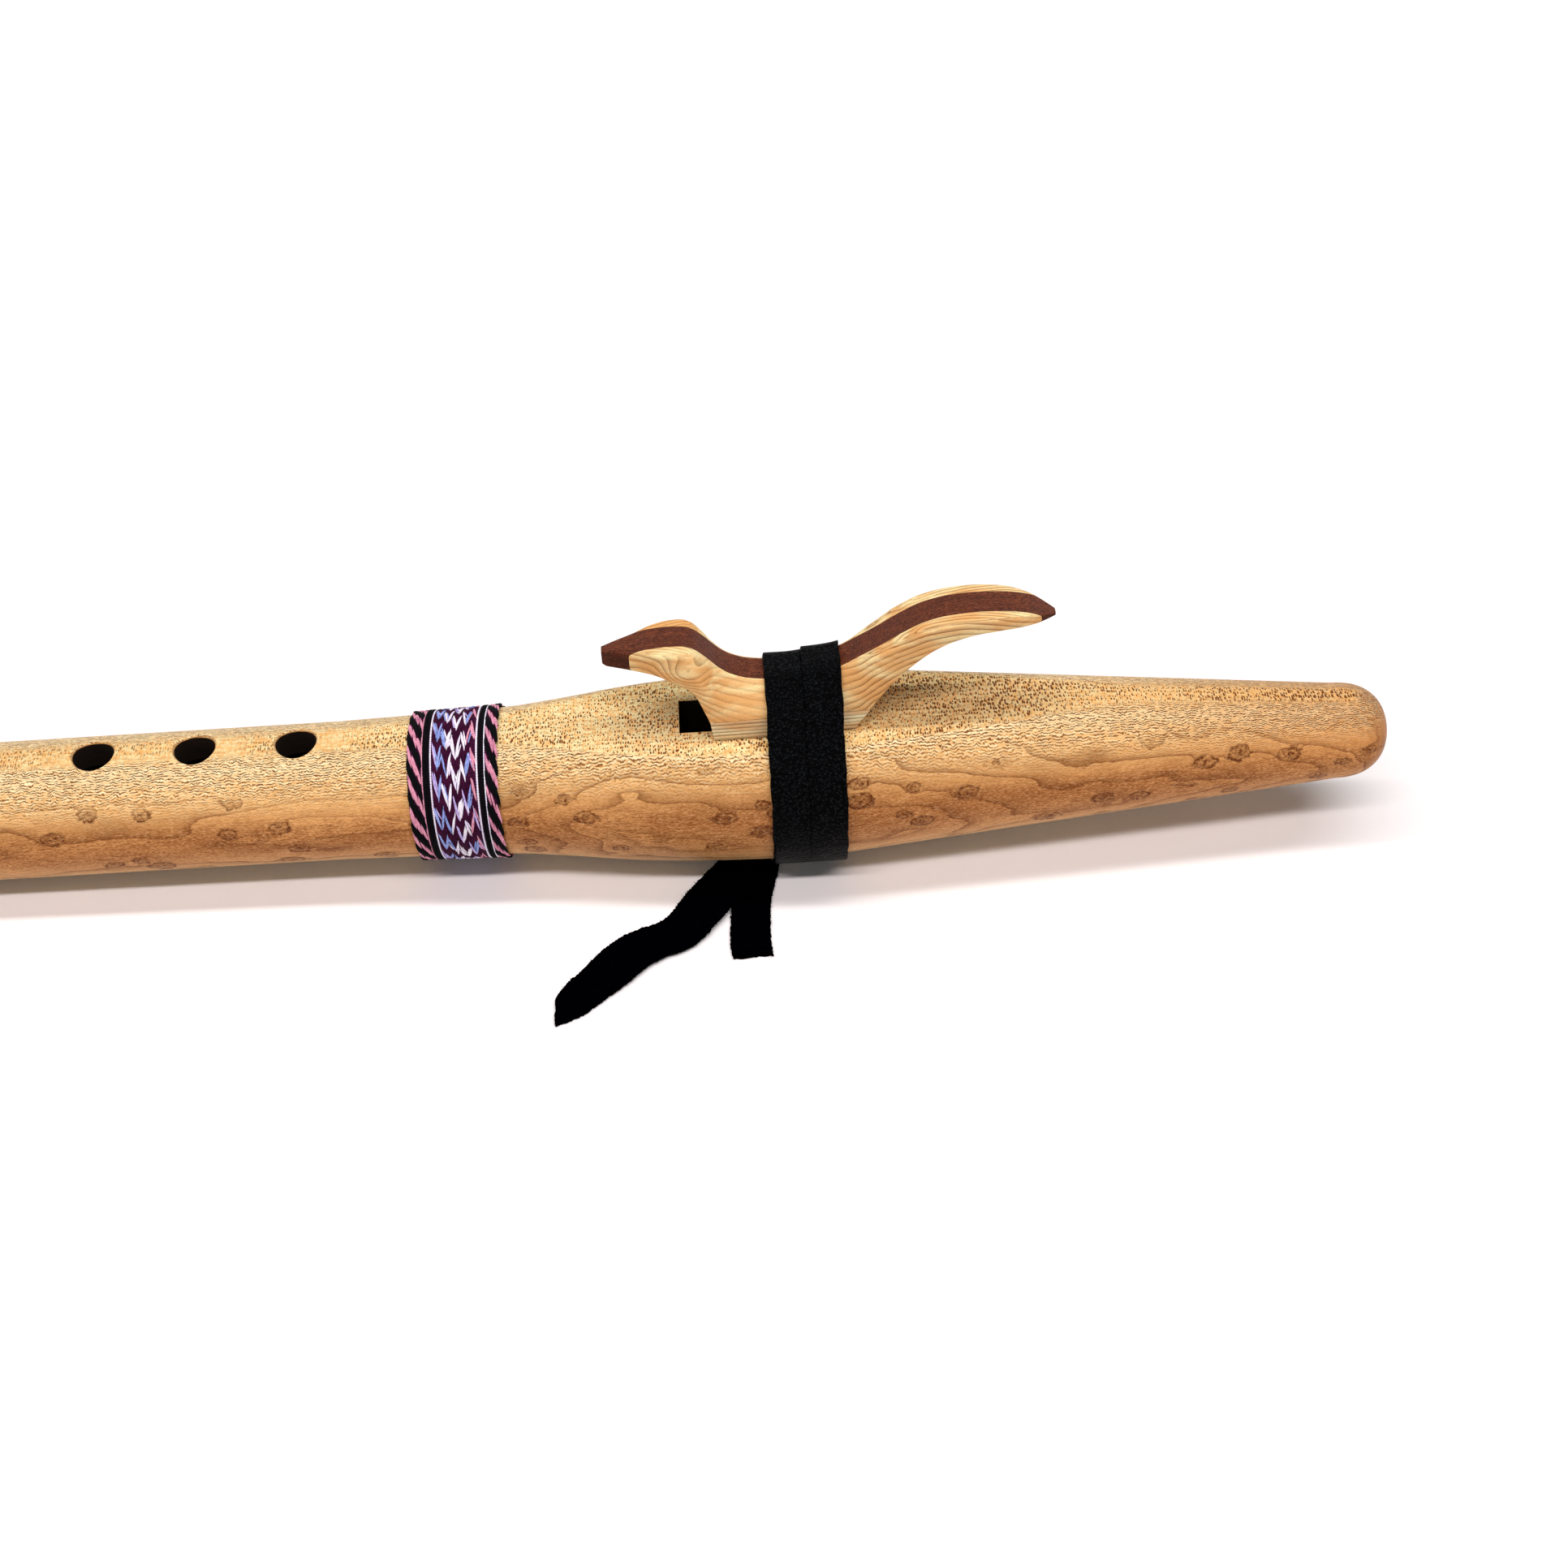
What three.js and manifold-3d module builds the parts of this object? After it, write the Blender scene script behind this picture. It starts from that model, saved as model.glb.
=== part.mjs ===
// Native American style flute, in millimetres, +Z up, lying on a table at z = 0.
// The tube is routed from two halves, with a slow air chamber at the mouth end and a sound chamber
// towards the foot. A laminated bird-shaped block is tied down over the flue by a flat leather lace,
// and can be slid along the nest to tune the voice.
// Inside the flute's own frame, x = 0 is the splitting edge, +X runs to the mouth end along the bore,
// and +Z is the finger-hole side.
import * as THREE from 'three';
import { mergeVertices } from 'three/addons/utils/BufferGeometryUtils.js';
import Module from 'manifold-3d';

const wasm = await Module();
wasm.setup();

// Clearances
const overrun = 2;
const glueGap = 0.3;
const seatGap = 0.3;
const ridgeGap = 0.48;

// Body outline
const footLength = 326;
const footRadius = 18.3;
const footEdge = 1;
const chamberRadius = 18.7;
const swellStart = 92;
const bulgeRadius = 25.6;
const taperStart = 50;
const mouthRadius = 13.1;
const mouthLength = 192.3;
const mouthRounding = 14;
const mouthRoundness = 2.4;
// Swell from the sound chamber to the straight taper: share of its length, share of the bulge's rise
const swellShares = [
  [0, 0], [0.085, 0.045], [0.211, 0.1], [0.331, 0.2], [0.394, 0.33], [0.458, 0.49],
  [0.521, 0.66], [0.585, 0.795], [0.648, 0.89], [0.732, 0.965], [0.838, 1], [0.944, 0.935], [1, 0.847],
];

// Chambers and holes
const soundBoreRadius = 11.1;
const airBoreRadius = 11.1;
const airChamberEnd = 146;
const airThroatLength = 18;
const breathRadius = 4;
const wallThickness = 9.5;
const soundHoleLength = 9;
const soundHoleWidth = 12.9;
const exitHoleLength = 8;
const edgeThickness = 1;
const rampLength = 14;
const fingerHoleRadius = 5.32;
const firstFingerHole = 101.5;
const fingerSpacing = 26.65;
const handGap = 39;
const nestRise = 0.4;

// Woven band round the sound chamber
const bandCentre = 59.9;
const bandWidth = 23.4;
const bandThickness = 0.65;
const bandCordWidth = 1.7;
const bandCordRise = 0.35;
const bandCordInset = 4.9;

// Block
const beakReach = 27.4;
const baseLength = 36.9;
const tailReach = 52.6;
const blockHeight = 32.7;
const blockWidth = 21.2;
const coreWidth = 8.1;
const baseThickness = 6.2;
const flueDepth = 1.1;
const ridgeRounding = 1.6;
const shoulderRounding = 2.4;
const hemRounding = 1.4;
// Side view of the block: share of its length from the beak's tip, share of its height above the nest
const blockTopShares = [
  [0, 0.753], [0.033, 0.776], [0.07, 0.795], [0.11, 0.822], [0.15, 0.833], [0.178, 0.828],
  [0.2, 0.8], [0.224, 0.724], [0.252, 0.612], [0.28, 0.531], [0.32, 0.476], [0.358, 0.459],
  [0.4, 0.459], [0.439, 0.473], [0.482, 0.5], [0.523, 0.541], [0.565, 0.622], [0.608, 0.714],
  [0.665, 0.848], [0.71, 0.933], [0.76, 0.98], [0.822, 1], [0.88, 0.993], [0.93, 0.965],
  [0.972, 0.913], [1, 0.873],
];
const blockUnderShares = [
  [0, 0.622], [0.009, 0.598], [0.068, 0.603], [0.097, 0.603], [0.121, 0.589], [0.154, 0.536],
  [0.183, 0.493], [0.2, 0.435], [0.211, 0.344], [0.221, 0.25], [0.229, 0.165], [0.235, 0],
  [0.55, 0], [0.571, 0.083], [0.6, 0.245], [0.644, 0.45], [0.689, 0.609], [0.731, 0.723],
  [0.773, 0.797], [0.83, 0.856], [0.9, 0.873], [0.952, 0.864], [1, 0.845],
];
// Half widths of the block as shares of half its greatest width: at the ridge, and at the hem
const ridgeWidthShares = [
  [0, 0.13], [0.04, 0.3], [0.068, 0.42], [0.11, 0.61], [0.151, 0.717], [0.175, 0.741], [0.2, 0.7],
  [0.221, 0.6], [0.24, 0.5], [0.27, 0.45], [0.36, 0.43], [0.5, 0.435], [0.55, 0.49], [0.6, 0.66],
  [0.657, 0.764], [0.756, 0.764], [0.832, 0.736], [0.898, 0.655], [0.952, 0.46], [0.978, 0.28], [1, 0.09],
];
const hemWidthShares = [
  [0, 0.13], [0.04, 0.3], [0.068, 0.42], [0.11, 0.61], [0.154, 0.755], [0.199, 0.887], [0.235, 1],
  [0.371, 0.962], [0.55, 0.868], [0.644, 0.811], [0.704, 0.774], [0.832, 0.745], [0.898, 0.67],
  [0.952, 0.47], [0.978, 0.285], [1, 0.095],
];
// Height of the shoulder, where the sides turn in towards the ridge, as a share of the block's height
const shoulderShares = [
  [0, 0.69], [0.154, 0.69], [0.183, 0.66], [0.21, 0.57], [0.235, 0.4], [0.28, 0.25], [0.33, 0.21],
  [0.52, 0.222], [0.568, 0.294], [0.602, 0.42], [0.644, 0.6], [0.7, 0.77], [0.773, 0.89],
  [0.858, 0.93], [0.952, 0.9], [1, 0.86],
];

// Leather lace
const laceWidth = 9.4;
const lacePitch = 9.9;
const laceThickness = 1.3;
const laceEdge = 0.3;
const laceStart = 23.3;
const lapGap = 0.5;
const flatDepth = 0.5;
const laceSteps = 120;
const laceEndAngle = 148.5;
const laceEndGap = 9;
const crossingFrom = 290;
const crossingTo = 215;
const crossingRamp = 15;
const knotLength = 12.4;
const knotWidth = 10.4;
const knotHeight = 6.8;
const knotSide = 16.2;
const knotDrop = 24;
const tuckLength = 12;
const tailWidth = 12.5;
const shortTailWidth = 10.4;

// Finishes
const mapleMaterial = () => new THREE.MeshStandardMaterial({ color: 0xd6a366, roughness: 0.42, metalness: 0 });
const walnutMaterial = () => new THREE.MeshStandardMaterial({ color: 0x6e3b2b, roughness: 0.45, metalness: 0 });
const ashMaterial = () => new THREE.MeshStandardMaterial({ color: 0xe0b878, roughness: 0.45, metalness: 0 });
const bandMaterial = () => new THREE.MeshStandardMaterial({ color: 0x7a4a6b, roughness: 0.9, metalness: 0 });
const leatherMaterial = () => new THREE.MeshStandardMaterial({ color: 0x17171b, roughness: 0.7, metalness: 0 });

// Places that follow from the sizes
const nestHeight = chamberRadius + nestRise;
const blockSeat = nestHeight + seatGap;
const blockLength = beakReach + baseLength + tailReach;
const blockTip = soundHoleLength - beakReach;
const wallEnd = soundHoleLength + wallThickness;
const ringRadius = bulgeRadius + seatGap;
const frontTurn = laceStart + laceWidth / 2;
const standRadius = ringRadius + laceThickness - flatDepth;
const footContact = footLength - footEdge;
const tilt = Math.atan((standRadius - footRadius) / (frontTurn + footContact));
const modelSpan = footLength + mouthLength + blockLength;

// Smooth curve through [place, value] pairs that never overshoots them
function curveAt(pairs, place) {
  const last = pairs.length - 1;
  if (place <= pairs[0][0]) {
    return pairs[0][1];
  }
  if (place >= pairs[last][0]) {
    return pairs[last][1];
  }
  const slope = (k) => (pairs[k + 1][1] - pairs[k][1]) / (pairs[k + 1][0] - pairs[k][0]);
  const tangent = (k) => {
    if (k === 0 || k === last) {
      return slope(Math.min(k, last - 1));
    }
    const before = slope(k - 1);
    const after = slope(k);
    return before * after <= 0 ? 0 : (2 * before * after) / (before + after);
  };
  const i = pairs.findIndex((pair, k) => place <= pairs[k + 1][0]);
  const width = pairs[i + 1][0] - pairs[i][0];
  const u = (place - pairs[i][0]) / width;
  const keep = (1 + 2 * u) * (1 - u) ** 2;
  const leave = u * (1 - u) ** 2 * width;
  const arrive = u * u * (u - 1) * width;
  return keep * pairs[i][1] + (1 - keep) * pairs[i + 1][1] + leave * tangent(i) + arrive * tangent(i + 1);
}

// Solids and joins
function toSolid(geometry) {
  const bare = geometry.clone();
  bare.deleteAttribute('normal');
  bare.deleteAttribute('uv');
  const merged = mergeVertices(bare);
  const corners = merged.index.array;
  const faces = [];
  for (let i = 0; i < corners.length; i += 3) {
    const [a, b, c] = corners.slice(i, i + 3);
    if (a !== b && b !== c && c !== a) {
      faces.push(a, b, c);
    }
  }
  return new wasm.Manifold(new wasm.Mesh({
    numProp: 3,
    vertProperties: merged.attributes.position.array,
    triVerts: new Uint32Array(faces),
  }));
}

function toGeometry(solid) {
  const { vertProperties, triVerts } = solid.getMesh();
  const geometry = new THREE.BufferGeometry();
  geometry.setAttribute('position', new THREE.BufferAttribute(vertProperties, 3));
  geometry.setIndex(new THREE.BufferAttribute(triVerts, 1));
  geometry.computeVertexNormals();
  return geometry;
}

function namedMesh(name, solid, material) {
  const mesh = new THREE.Mesh(toGeometry(solid), material);
  mesh.name = name;
  return mesh;
}

// Turned solid along the flute's axis, from [x, radius] pairs
function revolve(outline, segments) {
  const points = outline.map(([x, radius]) => new THREE.Vector2(radius, x));
  return toSolid(new THREE.LatheGeometry(points, segments).rotateZ(-Math.PI / 2));
}

function roundBar(radius, from, to, segments) {
  return revolve([[from, 0], [from, radius], [to, radius], [to, 0]], segments);
}

// Prism with an outline in x and z, centred on y = 0
function prism(outline, width) {
  const shape = new THREE.Shape(outline.map(([x, z]) => new THREE.Vector2(x, z)));
  const geometry = new THREE.ExtrudeGeometry(shape, { depth: width, bevelEnabled: false });
  return toSolid(geometry.translate(0, 0, -width / 2).rotateX(Math.PI / 2));
}

function boxBetween(low, high) {
  const size = high.map((value, k) => value - low[k]);
  const middle = high.map((value, k) => (value + low[k]) / 2);
  return toSolid(new THREE.BoxGeometry(...size).translate(...middle));
}

// Skin over rings of points, closed at both ends
function loft(rings) {
  const count = rings[0].length;
  const index = [];
  for (let i = 0; i + 1 < rings.length; i += 1) {
    for (let j = 0; j < count; j += 1) {
      const next = (j + 1) % count;
      const here = i * count;
      const there = here + count;
      index.push(here + j, here + next, there + next, here + j, there + next, there + j);
    }
  }
  const last = (rings.length - 1) * count;
  for (let j = 1; j + 1 < count; j += 1) {
    index.push(0, j + 1, j, last, last + j, last + j + 1);
  }
  const geometry = new THREE.BufferGeometry();
  const places = rings.flat().flatMap((point) => point.toArray());
  geometry.setAttribute('position', new THREE.Float32BufferAttribute(places, 3));
  geometry.setIndex(index);
  return toSolid(geometry);
}

// Body of the flute
function bodyRadius(x) {
  if (x <= -swellStart) {
    return THREE.MathUtils.mapLinear(x, -footLength, -swellStart, footRadius, chamberRadius);
  }
  if (x <= taperStart) {
    const share = (x + swellStart) / (swellStart + taperStart);
    return chamberRadius + (bulgeRadius - chamberRadius) * curveAt(swellShares, share);
  }
  const roundingStart = mouthLength - mouthRounding;
  if (x <= roundingStart) {
    return THREE.MathUtils.mapLinear(x, taperStart, roundingStart, bodyRadius(taperStart), mouthRadius);
  }
  const share = Math.min((x - roundingStart) / mouthRounding, 1);
  return mouthRadius * (1 - share ** mouthRoundness) ** (1 / mouthRoundness);
}

function bodyOutline() {
  const outline = [[-footLength, 0], [-footLength, footRadius - footEdge], [-footContact, footRadius]];
  const swellSteps = 30;
  for (let i = 0; i <= swellSteps; i += 1) {
    const x = THREE.MathUtils.lerp(-swellStart, taperStart, i / swellSteps);
    outline.push([x, bodyRadius(x)]);
  }
  const endSteps = 9;
  for (let i = 0; i <= endSteps; i += 1) {
    const x = mouthLength - mouthRounding * Math.cos((i / endSteps) * (Math.PI / 2));
    outline.push([x, i === endSteps ? 0 : bodyRadius(x)]);
  }
  return outline;
}

function fingerHolePlaces() {
  const lowHand = firstFingerHole + 2 * fingerSpacing + handGap;
  return [firstFingerHole, lowHand].flatMap((start) => [0, 1, 2].map((k) => -start - k * fingerSpacing));
}

function chambers() {
  const boreSides = 32;
  const soundChamber = roundBar(soundBoreRadius, -footLength - overrun, soundHoleLength, boreSides);
  const airChamber = revolve([
    [wallEnd, 0],
    [wallEnd, airBoreRadius],
    [airChamberEnd, airBoreRadius],
    [airChamberEnd + airThroatLength, breathRadius],
    [mouthLength + overrun, breathRadius],
    [mouthLength + overrun, 0],
  ], boreSides);
  return soundChamber.add(airChamber);
}

function voicing() {
  const above = nestHeight + overrun;
  const soundHole = prism([
    [0, above],
    [0, nestHeight - edgeThickness],
    [-rampLength, soundBoreRadius - edgeThickness],
    [-rampLength, 0],
    [soundHoleLength, 0],
    [soundHoleLength, above],
  ], soundHoleWidth);
  const exitHole = prism([
    [wallEnd, above],
    [wallEnd, 0],
    [wallEnd + exitHoleLength + airBoreRadius, 0],
    [wallEnd + exitHoleLength, nestHeight - edgeThickness],
    [wallEnd + exitHoleLength, above],
  ], soundHoleWidth);
  return soundHole.add(exitHole);
}

function fingerHoles() {
  const holeSides = 28;
  const length = chamberRadius + overrun;
  return fingerHolePlaces().map((x) => {
    const bar = new THREE.CylinderGeometry(fingerHoleRadius, fingerHoleRadius, length, holeSides);
    return toSolid(bar.rotateX(Math.PI / 2).translate(x, 0, length / 2));
  });
}

function bodyHalves() {
  const reach = bulgeRadius + overrun;
  const nestCut = boxBetween([-swellStart, -reach, nestHeight], [mouthLength, reach, reach]);
  const cuts = [chambers(), voicing(), nestCut, ...fingerHoles()];
  const body = cuts.reduce((solid, cut) => solid.subtract(cut), revolve(bodyOutline(), 56));
  const ends = [-footLength - overrun, mouthLength + overrun];
  const upperRoom = boxBetween([ends[0], -reach, glueGap / 2], [ends[1], reach, reach]);
  const lowerRoom = boxBetween([ends[0], -reach, -reach], [ends[1], reach, -glueGap / 2]);
  return [
    namedMesh('body_upper_half', body.intersect(upperRoom), mapleMaterial()),
    namedMesh('body_lower_half', body.intersect(lowerRoom), mapleMaterial()),
  ];
}

// Woven band, with a raised black cord near each edge
function wovenBand() {
  const steps = 24;
  const inner = [];
  const outer = [];
  for (let i = 0; i <= steps; i += 1) {
    const across = (i / steps - 0.5) * bandWidth;
    const x = across - bandCentre;
    const fromCord = Math.abs(bandWidth / 2 - bandCordInset - Math.abs(across));
    const rise = bandCordRise * Math.max(0, 1 - (fromCord / bandCordWidth) ** 2);
    const seat = bodyRadius(x) + seatGap;
    if (i % 4 === 0) {
      inner.push([x, seat]);
    }
    outer.push([x, seat + bandThickness + rise]);
  }
  const ring = revolve([...outer, ...inner.reverse(), outer[0]], 56);
  return namedMesh('woven_band', ring, bandMaterial());
}

// Block: sections across the flute, with soft corners
function softCorners(corners, steps) {
  const limitShare = 0.45;
  return corners.flatMap(({ at, rounding }, i) => {
    const before = corners[(i + corners.length - 1) % corners.length].at;
    const after = corners[(i + 1) % corners.length].at;
    const toBefore = at.distanceTo(before);
    const toAfter = at.distanceTo(after);
    const cut = Math.min(rounding, toBefore * limitShare, toAfter * limitShare);
    const start = at.clone().lerp(before, cut / toBefore);
    const end = at.clone().lerp(after, cut / toAfter);
    return new THREE.QuadraticBezierCurve(start, at, end).getPoints(steps);
  });
}

function blockSection(share) {
  const top = blockSeat + blockHeight * curveAt(blockTopShares, share);
  const under = blockSeat + blockHeight * curveAt(blockUnderShares, share);
  const shoulder = blockSeat + blockHeight * curveAt(shoulderShares, share);
  const ridge = (blockWidth / 2) * curveAt(ridgeWidthShares, share);
  const hem = (blockWidth / 2) * curveAt(hemWidthShares, share);
  const onNest = under - blockSeat < seatGap;
  const half = [
    { y: hem, z: under, rounding: onNest ? seatGap : hemRounding },
    { y: hem, z: shoulder, rounding: shoulderRounding },
    { y: ridge, z: top, rounding: ridgeRounding },
  ];
  const corner = (side) => ({ y, z, rounding }) => ({ at: new THREE.Vector2(side * y, z), rounding });
  return softCorners([...half.map(corner(1)), ...half.map(corner(-1)).reverse()], 3);
}

function blockStations() {
  const shares = [...blockTopShares, ...blockUnderShares].map(([share]) => share);
  return [...new Set(shares)].sort((a, b) => a - b);
}

function wholeBlock() {
  return loft(blockStations().map((share) => {
    const x = blockTip + share * blockLength;
    return blockSection(share).map((point) => new THREE.Vector3(x, point.x, point.y));
  }));
}

function blockPieces() {
  const whole = wholeBlock();
  const low = [blockTip - overrun, -blockWidth, blockSeat - overrun];
  const high = [blockTip + blockLength + overrun, blockWidth, blockSeat + blockHeight + overrun];
  const joint = blockSeat + baseThickness;
  const flueEnd = wallEnd + exitHoleLength;
  const flue = boxBetween(
    [blockTip, -soundHoleWidth / 2, blockSeat - overrun],
    [flueEnd, soundHoleWidth / 2, blockSeat + flueDepth],
  );
  const base = whole.intersect(boxBetween(low, [high[0], high[1], joint])).subtract(flue);
  const upper = whole.intersect(boxBetween([low[0], low[1], joint + glueGap], high));
  const coreSide = coreWidth / 2;
  const coreRoom = boxBetween([low[0], -coreSide, low[2]], [high[0], coreSide, high[2]]);
  const nearRoom = boxBetween(low, [high[0], -coreSide - glueGap, high[2]]);
  const farRoom = boxBetween([low[0], coreSide + glueGap, low[2]], high);
  return [
    namedMesh('block_base', base, ashMaterial()),
    namedMesh('block_core', upper.intersect(coreRoom), walnutMaterial()),
    namedMesh('block_cheek_near', upper.intersect(nearRoom), ashMaterial()),
    namedMesh('block_cheek_far', upper.intersect(farRoom), ashMaterial()),
  ];
}

// Taut outline of the lace: the convex hull of the bulge and of the block's section at one place
function cross(a, b) {
  return a.x * b.y - a.y * b.x;
}

function convexHull(points) {
  const sorted = [...points].sort((a, b) => a.x - b.x || a.y - b.y);
  const chain = (list) => {
    const kept = [];
    for (const point of list) {
      while (kept.length > 1) {
        const edge = kept.at(-1).clone().sub(kept.at(-2));
        if (cross(edge, point.clone().sub(kept.at(-1))) > 0) {
          break;
        }
        kept.pop();
      }
      kept.push(point);
    }
    return kept.slice(0, -1);
  };
  return [...chain(sorted), ...chain(sorted.reverse())];
}

function circlePoints(centre, radius, count) {
  return Array.from({ length: count }, (_, k) => {
    const angle = (2 * Math.PI * k) / count;
    return new THREE.Vector2(centre.x + radius * Math.cos(angle), centre.y + radius * Math.sin(angle));
  });
}

const hulls = new Map();
function tautHull(x, off) {
  const key = `${x.toFixed(3)} ${off.toFixed(3)}`;
  if (!hulls.has(key)) {
    const section = blockSection((x - blockTip) / blockLength);
    const grown = section.flatMap((point) => circlePoints(point, ridgeGap + off, 12));
    const ring = circlePoints(new THREE.Vector2(), ringRadius + off, 144);
    hulls.set(key, convexHull([...grown, ...ring]));
  }
  return hulls.get(key);
}

// Angles are in degrees round the flute, from straight up towards the near side at -Y
function outwards(angle) {
  const turn = THREE.MathUtils.degToRad(angle);
  return new THREE.Vector2(-Math.sin(turn), Math.cos(turn));
}

function lacePoint(x, angle, off, lift) {
  const direction = outwards(angle);
  const hull = tautHull(x, off);
  const reach = hull.reduce((furthest, start, k) => {
    const edge = hull[(k + 1) % hull.length].clone().sub(start);
    const turn = cross(direction, edge);
    const along = cross(start, direction) / turn;
    const distance = cross(start, edge) / turn;
    return along >= -1e-9 && along <= 1 + 1e-9 ? Math.max(furthest, distance) : furthest;
  }, 0);
  return new THREE.Vector3(x, direction.x * (reach + lift), direction.y * (reach + lift));
}

// The lace runs up the near side on its front turn, crosses to the rear turn low on the far side,
// and crosses back over itself there one turn later, to end beside its own start under the knot
function laceRun() {
  const turn = 360;
  const travel = 2 * turn - laceEndGap;
  const steps = Math.round((travel / turn) * laceSteps);
  const smooth = THREE.MathUtils.smoothstep;
  const out = laceEndAngle - crossingFrom + turn;
  const back = laceEndAngle - crossingTo + turn;
  return Array.from({ length: steps + 1 }, (_, k) => {
    const gone = (travel * k) / steps;
    const rear = smooth(gone, out, back) - smooth(gone, out + turn, back + turn);
    const up = smooth(gone, out + turn - crossingRamp, out + turn);
    const down = smooth(gone, back + turn, back + turn + crossingRamp);
    return {
      angle: laceEndAngle - gone,
      x: frontTurn + lacePitch * rear,
      lift: (laceThickness + lapGap) * (up - down),
    };
  });
}

function laceRings() {
  const half = laceWidth / 2;
  return laceRun().map(({ angle, x, lift }) => {
    const point = (across, off) => lacePoint(x + across, angle, off, lift);
    const flat = half - laceEdge;
    return [
      point(-flat, laceThickness),
      point(0, laceThickness),
      point(flat, laceThickness),
      point(half, laceThickness / 2),
      point(flat, 0),
      point(0, 0),
      point(-flat, 0),
      point(-half, laceThickness / 2),
    ];
  });
}

function leastSelfGap(rings) {
  const half = Math.round(laceSteps / 2);
  let least = Infinity;
  rings.forEach((ring, i) => rings.slice(i + half).forEach((other) => {
    for (const a of ring) {
      for (const b of other) {
        least = Math.min(least, a.distanceTo(b));
      }
    }
  }));
  return least;
}

// Everything above the table, which slopes in the flute's own frame
function aboveTable() {
  const room = new THREE.BoxGeometry(modelSpan, modelSpan, modelSpan);
  room.translate(0, 0, modelSpan / 2).rotateY(tilt).translate(frontTurn, 0, -standRadius);
  return toSolid(room);
}

function laceWinding() {
  const rings = laceRings();
  console.log(`least gap of the lace to itself: ${leastSelfGap(rings).toFixed(2)} mm`);
  return namedMesh('lace_winding', loft(rings).intersect(aboveTable()), leatherMaterial());
}

// Knot in the wedge between the body and the table, with the lace's ends tucked under it
function laceKnot() {
  const lump = new THREE.SphereGeometry(1, 28, 18);
  lump.scale(knotLength / 2, knotWidth / 2, knotHeight / 2);
  lump.translate(laceStart - seatGap - knotLength / 2, -knotSide, -knotDrop);
  const gapAngle = laceEndAngle + laceEndGap / 2;
  const middle = ringRadius + laceThickness / 2;
  const gapWidth = ringRadius * THREE.MathUtils.degToRad(laceEndGap);
  const tuck = new THREE.BoxGeometry(tuckLength, gapWidth - 2 * seatGap, laceThickness);
  tuck.translate(laceStart, 0, middle).rotateX(THREE.MathUtils.degToRad(gapAngle));
  const length = 2 * (knotLength + tuckLength);
  const bodyRoom = roundBar(ringRadius, laceStart - length, laceStart + length, 72);
  const knot = toSolid(lump).add(toSolid(tuck)).subtract(bodyRoom).intersect(aboveTable());
  return namedMesh('lace_knot', knot, leatherMaterial());
}

// Flat tails, by the middle line of their underside on the table
const longTailRoute = [
  [-17.45, -18.95, 1.8], [-19.2, -21.3, 1.8], [-21.1, -23.9, 1.8], [-22.9, -26.4, 1.8], [-24.8, -29.1, 1.7],
  [-26.8, -32, 1.2], [-29.1, -35, 0.6], [-31.9, -37.8, 0.2], [-35.2, -39.7, 0.05], [-38.6, -41, 0],
  [-42.2, -43.1, 0], [-45.6, -45.7, 0], [-49, -48.6, 0], [-52.4, -51.8, 0], [-55.8, -55.1, 0],
  [-59.3, -58.5, 0], [-62.9, -62.1, 0],
];
const shortTailRoute = [
  [-10.6, -22, 0], [-11.2, -25.5, 0], [-11.9, -30, 0], [-12.3, -35, 0], [-12.5, -40.5, 0], [-12.3, -46, 0],
];

function flatTail(name, route, width) {
  const curve = new THREE.CatmullRomCurve3(route.map((point) => new THREE.Vector3(...point)));
  const steps = 2 * (route.length - 1);
  const up = new THREE.Vector3(0, 0, laceThickness);
  const rings = Array.from({ length: steps + 1 }, (_, k) => {
    const middle = curve.getPoint(k / steps);
    const right = curve.getTangent(k / steps).cross(up).setZ(0).setLength(width / 2);
    const lowRight = middle.clone().add(right);
    const lowLeft = middle.clone().sub(right);
    return [lowLeft.clone().add(up), lowRight.clone().add(up), lowRight, lowLeft];
  });
  return namedMesh(name, loft(rings), leatherMaterial());
}

// Assembly: the flute's frame is lifted onto its lace and foot, so that it tilts as it does on a table
const fluteFrame = new THREE.Group();
fluteFrame.position.set(-frontTurn, 0, standRadius);
fluteFrame.add(...bodyHalves(), wovenBand(), ...blockPieces(), laceWinding(), laceKnot());

const resting = new THREE.Group();
resting.rotation.y = -tilt;
resting.add(fluteFrame);

const flute = new THREE.Group();
flute.add(resting);
flute.add(flatTail('lace_tail_long', longTailRoute, tailWidth));
flute.add(flatTail('lace_tail_short', shortTailRoute, shortTailWidth));

export default flute;
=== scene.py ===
import math

import bmesh
import bpy
import numpy as np
from mathutils import Matrix, Vector


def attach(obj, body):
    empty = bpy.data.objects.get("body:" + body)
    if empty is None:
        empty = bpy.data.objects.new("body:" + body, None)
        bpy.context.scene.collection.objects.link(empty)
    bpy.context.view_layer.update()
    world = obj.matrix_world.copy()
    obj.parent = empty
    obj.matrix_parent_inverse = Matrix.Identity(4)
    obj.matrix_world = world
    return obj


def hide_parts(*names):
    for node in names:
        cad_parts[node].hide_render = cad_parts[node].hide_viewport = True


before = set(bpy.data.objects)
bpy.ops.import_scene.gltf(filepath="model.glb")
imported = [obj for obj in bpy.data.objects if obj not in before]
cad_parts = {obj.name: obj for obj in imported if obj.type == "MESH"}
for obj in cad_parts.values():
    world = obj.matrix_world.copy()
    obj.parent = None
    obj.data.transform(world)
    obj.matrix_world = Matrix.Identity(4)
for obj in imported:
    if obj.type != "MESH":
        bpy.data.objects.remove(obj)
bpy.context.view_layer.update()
scene = bpy.context.scene
scene.view_settings.view_transform = "Standard"
MM = 0.001

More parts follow.
